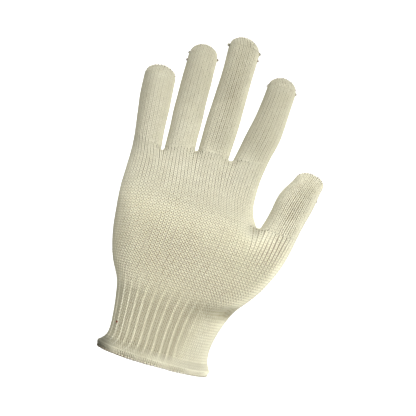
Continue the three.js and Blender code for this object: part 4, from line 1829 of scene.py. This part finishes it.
@dataclass
class TipClosing:
    """The yarn that gathers a digit's round end, over and over along its edge.

    Its rows stand round the edge, each turned by a tilt, and sink deeper towards the ends.
    """

    part: Part
    tilts: tuple[float, ...] = (-80.0, -27.0, 27.0, 80.0)
    reach: float = 1.15
    sunk: float = 1.05
    end_sunk: float = 1.4
    # The ends begin at this height over the last section, as a share of the tip's.
    end_height: float = 0.5
    pitch: float = 2.1
    radius: float = 0.52
    thread_radius: float = 0.48
    depth: float = 0.15
    jitter: float = 0.1
    seed: int = 40
    steps: int = 48

    def build(self, shop: Workshop) -> None:
        """Makes the closing stitches."""
        outline = TipOutline(self.part, DIGITS[self.part][-1])
        angles = np.linspace(math.pi, 0.0, self.steps + 1)
        edge = np.array([outline.at(math.cos(angle)) for angle in angles])
        along = np.gradient(edge, axis=0)
        along /= np.linalg.norm(along, axis=1, keepdims=True)
        palm = np.array([0.0, -1.0, 0.0])
        outward = np.cross(palm, along)
        ends = 1 - smoothstep(0.0, self.end_height, np.sin(angles))
        inset = (self.sunk + self.end_sunk * ends)[:, None]
        rows, directions = [], []
        for turn in np.radians(self.tilts):
            direction = outward * math.cos(turn) - palm * math.sin(turn)
            rows.append(edge - outward * inset + direction * self.reach)
            directions.append(direction)
        length = float(np.linalg.norm(np.diff(edge, axis=0), axis=1).sum())
        count = round(length / self.pitch)
        strip = Charted.strip(np.array(rows), np.array(directions), count, False, 1.0)
        # The brown thread between the closing's wraps darkens the edge in dashes, as painted shade.
        for name, radius, first, material in (
            ("closing", self.radius, 0.0, shop.yarn),
            ("closing_shade", self.thread_radius, 0.5, shop.thread),
        ):
            piece = shop.tree.lay(strip.sunk(self.depth), f"{self.part.value}_{name}", {
                "Stitch": shop.wrap.made,
                "Columns": count,
                "Rows": len(rows) - 1,
                "First column": first,
                "Yarn radius": radius * MM,
                "Jitter": self.jitter,
                "Seed": self.seed + PARTS.index(self.part),
                "Material": material,
            })
            shop.keep(piece)


# The knots where the closing yarns end lie here, in millimetres.
YARN_ENDS = [
    Vector((-38.6, -6.5, 211.8)),
    Vector((-17.9, -6.8, 217.4)),
    Vector((9.6, -8.0, 224.5)),
    Vector((42.1, -6.0, 209.5)),
    Vector((76.9, -13.8, 140.8)),
]


@dataclass
class YarnEnd:
    """A yarn's end, pulled tight in an overhand knot: a trefoil that swells by a share."""

    size: float = 0.42
    swell: float = 0.5
    radius: float = 0.34
    steps: int = 30
    sides: int = 5

    def _path(self, share: float) -> Vector:
        angle = math.tau * share
        reach = 1 + self.swell * math.cos(3 * angle)
        return self.size * Vector((
            reach * math.cos(2 * angle), math.sin(3 * angle), reach * math.sin(2 * angle),
        ))

    def build(self, shop: Workshop) -> None:
        """Makes all the knots as one piece."""
        points, faces = [], []
        for middle in YARN_ENDS:
            first = len(points)
            for step in range(self.steps):
                here, ahead = (self._path((step + k) / self.steps) for k in (0, 1))
                heading = (ahead - here).to_track_quat("Z", "Y")
                for side in range(self.sides):
                    angle = math.tau * side / self.sides
                    ring = Vector((math.cos(angle), math.sin(angle), 0.0)) * self.radius
                    points.append((middle + here + heading @ ring) * MM)
            for step in range(self.steps):
                low, high = (first + self.sides * ((step + k) % self.steps) for k in (0, 1))
                for side in range(self.sides):
                    other = (side + 1) % self.sides
                    faces.append((low + side, low + other, high + other, high + side))
        mesh = new_mesh("yarn_ends", points, faces)
        mesh.materials.append(shop.thread)
        shop.keep(new_object("yarn_ends", mesh))


@dataclass
class JoinCourse:
    """The course of stitches that ties a digit's tube to the palm."""

    part: Part
    height: float = 1.8
    depth: float = 0.72
    yarn_radius: float = 0.46
    relief: float = 0.2
    jitter: float = 0.1
    seed: int = 60

    def build(self, shop: Workshop) -> None:
        """Makes the course round the digit's base."""
        points, outward, faces, chart = shop.fine.section(self.part)
        first = np.isclose(chart[:, 0, 1], chart[..., 1].min())
        order = np.argsort(chart[first, 0, 0])
        base, above = (faces[first][order, corner] for corner in (0, 3))
        along = points[above] - points[base]
        along *= self.height / 2 / np.linalg.norm(along, axis=1, keepdims=True)
        rows = np.array([points[base] - along, points[base] + along])
        wales = THUMB_WALES if self.part is Part.THUMB else FINGER_WALES
        relief = min(RELIEF[self.part], self.relief)
        strip = Charted.strip(rows, np.array([outward[base]] * 2), wales, True, relief)
        piece = shop.tree.lay(strip.sunk(self.depth), f"{self.part.value}_join", {
            "Stitch": shop.knit.made,
            "Columns": wales,
            "Rows": 1,
            "Yarn radius": self.yarn_radius * MM,
            "Jitter": self.jitter,
            "Seed": self.seed + PARTS.index(self.part),
            "Material": shop.yarn,
        })
        shop.keep(piece)


@dataclass
class Glove:
    """The whole glove."""

    fine_levels: int = 3
    coarse_levels: int = 2
    # The overcast edge covers the hem's first rows, and its wall is thick. The back of a digit
    # lies nearer the stitches, which are small there.
    hem_first_row: float = 2.0
    hem_wall: float = 2.3
    digit_back_depth: float = 0.80

    def build(self) -> None:
        """Makes every sub-assembly in order from the wrist."""
        cage = Cage()
        shop = Workshop(Skin(cage, self.fine_levels), Skin(cage, self.coarse_levels))
        for part in PARTS:
            section = KnittedSection(part)
            if part is Part.HEM:
                section.first_row, section.wall = self.hem_first_row, self.hem_wall
            elif part in DIGIT_PARTS:
                section.back_depth = self.digit_back_depth
            section.build(shop)
        OvercastEdge().build(shop)
        for part in DIGIT_PARTS:
            JoinCourse(part).build(shop)
            TipClosing(part).build(shop)
        YarnEnd().build(shop)
        shop.clear()


@dataclass(frozen=True)
class Lamp:
    """A square area lamp that shines on the glove, in metres and watts."""

    name: str
    spot: tuple[float, float, float]
    size: float
    power: float

    def build(self, aim: Vector) -> None:
        """Hangs the lamp, turned to a place."""
        data = bpy.data.lights.new(self.name, "AREA")
        data.size, data.energy = self.size, self.power
        lamp = bpy.data.objects.new(self.name, data)
        lamp.location = self.spot
        lamp.rotation_euler = (aim - lamp.location).to_track_quat("-Z", "Y").to_euler()
        bpy.context.scene.collection.objects.link(lamp)


@dataclass(frozen=True)
class Surround:
    """The world's light: brightest above in front, and dark behind and under the glove.

    It grows from the first strength to the second as the direction nears the brightest one,
    between two cosines of the angle to it. The camera sees it pure white.
    """

    seen: str = "#ffffff"
    brightest: tuple[float, float, float] = (0.0, -0.7, 0.7)
    cosines: tuple[float, float] = (0.3, 1.0)
    strengths: tuple[float, float] = (0.03, 1.70)

    def build(self) -> None:
        """Makes the world."""
        world = bpy.data.worlds.new("surround")
        world.use_nodes = True
        tree = world.node_tree
        tree.nodes.clear()
        toward = add_node(tree, "ShaderNodeTexCoord").node.outputs["Generated"]
        inputs = (toward, Vector(self.brightest).normalized())
        above = add_node(tree, VECTOR_MATH, inputs, operation="DOT_PRODUCT")
        strength = add_node(tree, RAMP, (above, *self.cosines, *self.strengths))
        by_camera = add_node(tree, "ShaderNodeLightPath").node.outputs["Is Camera Ray"]
        strength = add_node(tree, MATH, (strength, by_camera), operation="MAXIMUM")
        inputs = {"Color": self.seen, "Strength": strength}
        background = add_node(tree, "ShaderNodeBackground", inputs)
        add_node(tree, "ShaderNodeOutputWorld", (background,))
        bpy.context.scene.world = world


@dataclass(frozen=True)
class PaperFinish:
    """Matt white paper. It returns a soft light to the glove, and the camera sees it pure white."""

    name: str = "white_paper"
    shade: str = "#b3b3b3"
    seen: str = "#ffffff"
    roughness: float = 0.95

    def build(self) -> bpy.types.Material:
        """Makes the material."""
        material, tree = new_material(self.name)
        by_camera = add_node(tree, "ShaderNodeLightPath").node.outputs["Is Camera Ray"]
        shader = add_node(tree, "ShaderNodeBsdfPrincipled", {
            "Base Color": self.shade,
            "Roughness": self.roughness,
            "Emission Color": self.seen,
            "Emission Strength": by_camera,
        })
        add_node(tree, "ShaderNodeOutputMaterial", (shader,))
        return material


@dataclass(frozen=True)
class Cove:
    """A floor of paper that bends up into a wall well behind the glove, in metres."""

    floor_level: float = -0.13
    half_width: float = 4.0
    front: float = -3.0
    back: float = 2.6
    top: float = 5.0
    bend: float = 1.2
    bend_steps: int = 15

    def build(self) -> None:
        """Lays the cove."""
        flat_end = self.back - self.bend
        profile = [(self.front, 0.0), (flat_end, 0.0)]
        for k in range(1, self.bend_steps + 1):
            angle = math.pi / 2 * k / self.bend_steps
            rise = self.bend - self.bend * math.cos(angle)
            profile.append((flat_end + self.bend * math.sin(angle), rise))
        profile.append((self.back, self.top))
        half = self.half_width
        corners = [(x, y, z + self.floor_level) for y, z in profile for x in (-half, half)]
        faces = [(2 * k, 2 * k + 1, 2 * k + 3, 2 * k + 2) for k in range(len(profile) - 1)]
        mesh = new_mesh("cove", corners, faces)
        mesh.materials.append(PaperFinish().build())
        new_object("cove", mesh)


@dataclass(frozen=True)
class Camera:
    """Looks level along +Y, rolled so that the glove leans as in the photograph.

    Distances are in millimetres, and the width is that of the view at the glove.
    """

    aim: tuple[float, float, float] = (5.4, 0.0, 115.1)
    distance: float = 750.0
    lean: float = 16.5
    width: float = 416 * 0.714
    clip: tuple[float, float] = (0.05, 30.0)

    def build(self) -> None:
        """Sets up the camera."""
        data = bpy.data.cameras.new("camera")
        data.lens = data.sensor_width * self.distance / self.width
        data.clip_start, data.clip_end = self.clip
        roll = math.radians(self.lean)
        right = Vector((math.cos(roll), 0.0, math.sin(roll)))
        back = Vector((0.0, -1.0, 0.0))
        turned = Matrix((right, back.cross(right), back)).transposed().to_4x4()
        camera = bpy.data.objects.new("camera", data)
        place = (Vector(self.aim) + back * self.distance) * MM
        camera.matrix_world = Matrix.Translation(place) @ turned
        bpy.context.scene.collection.objects.link(camera)
        bpy.context.scene.camera = camera


@dataclass(frozen=True)
class Studio:
    """Camera, light and floor: soft light from the upper right in front and from behind."""

    lamp_aim: tuple[float, float, float] = (0.0, 0.0, 0.1)
    lamps: tuple[Lamp, ...] = (
        Lamp("key", (0.40, -0.93, 0.4), 0.3, 8.6),
        Lamp("behind", (0.0, 0.9, 0.7), 0.4, 10.0),
    )

    def build(self) -> None:
        """Makes all of it."""
        Camera().build()
        bpy.context.scene.view_settings.view_transform = "Standard"
        Surround().build()
        for lamp in self.lamps:
            lamp.build(Vector(self.lamp_aim))
        Cove().build()


def main() -> None:
    """Builds the glove, then the studio."""
    logging.basicConfig(level=logging.INFO, format="%(name)s: %(message)s")
    Glove().build()
    Studio().build()


if __name__ == "__main__":
    main()
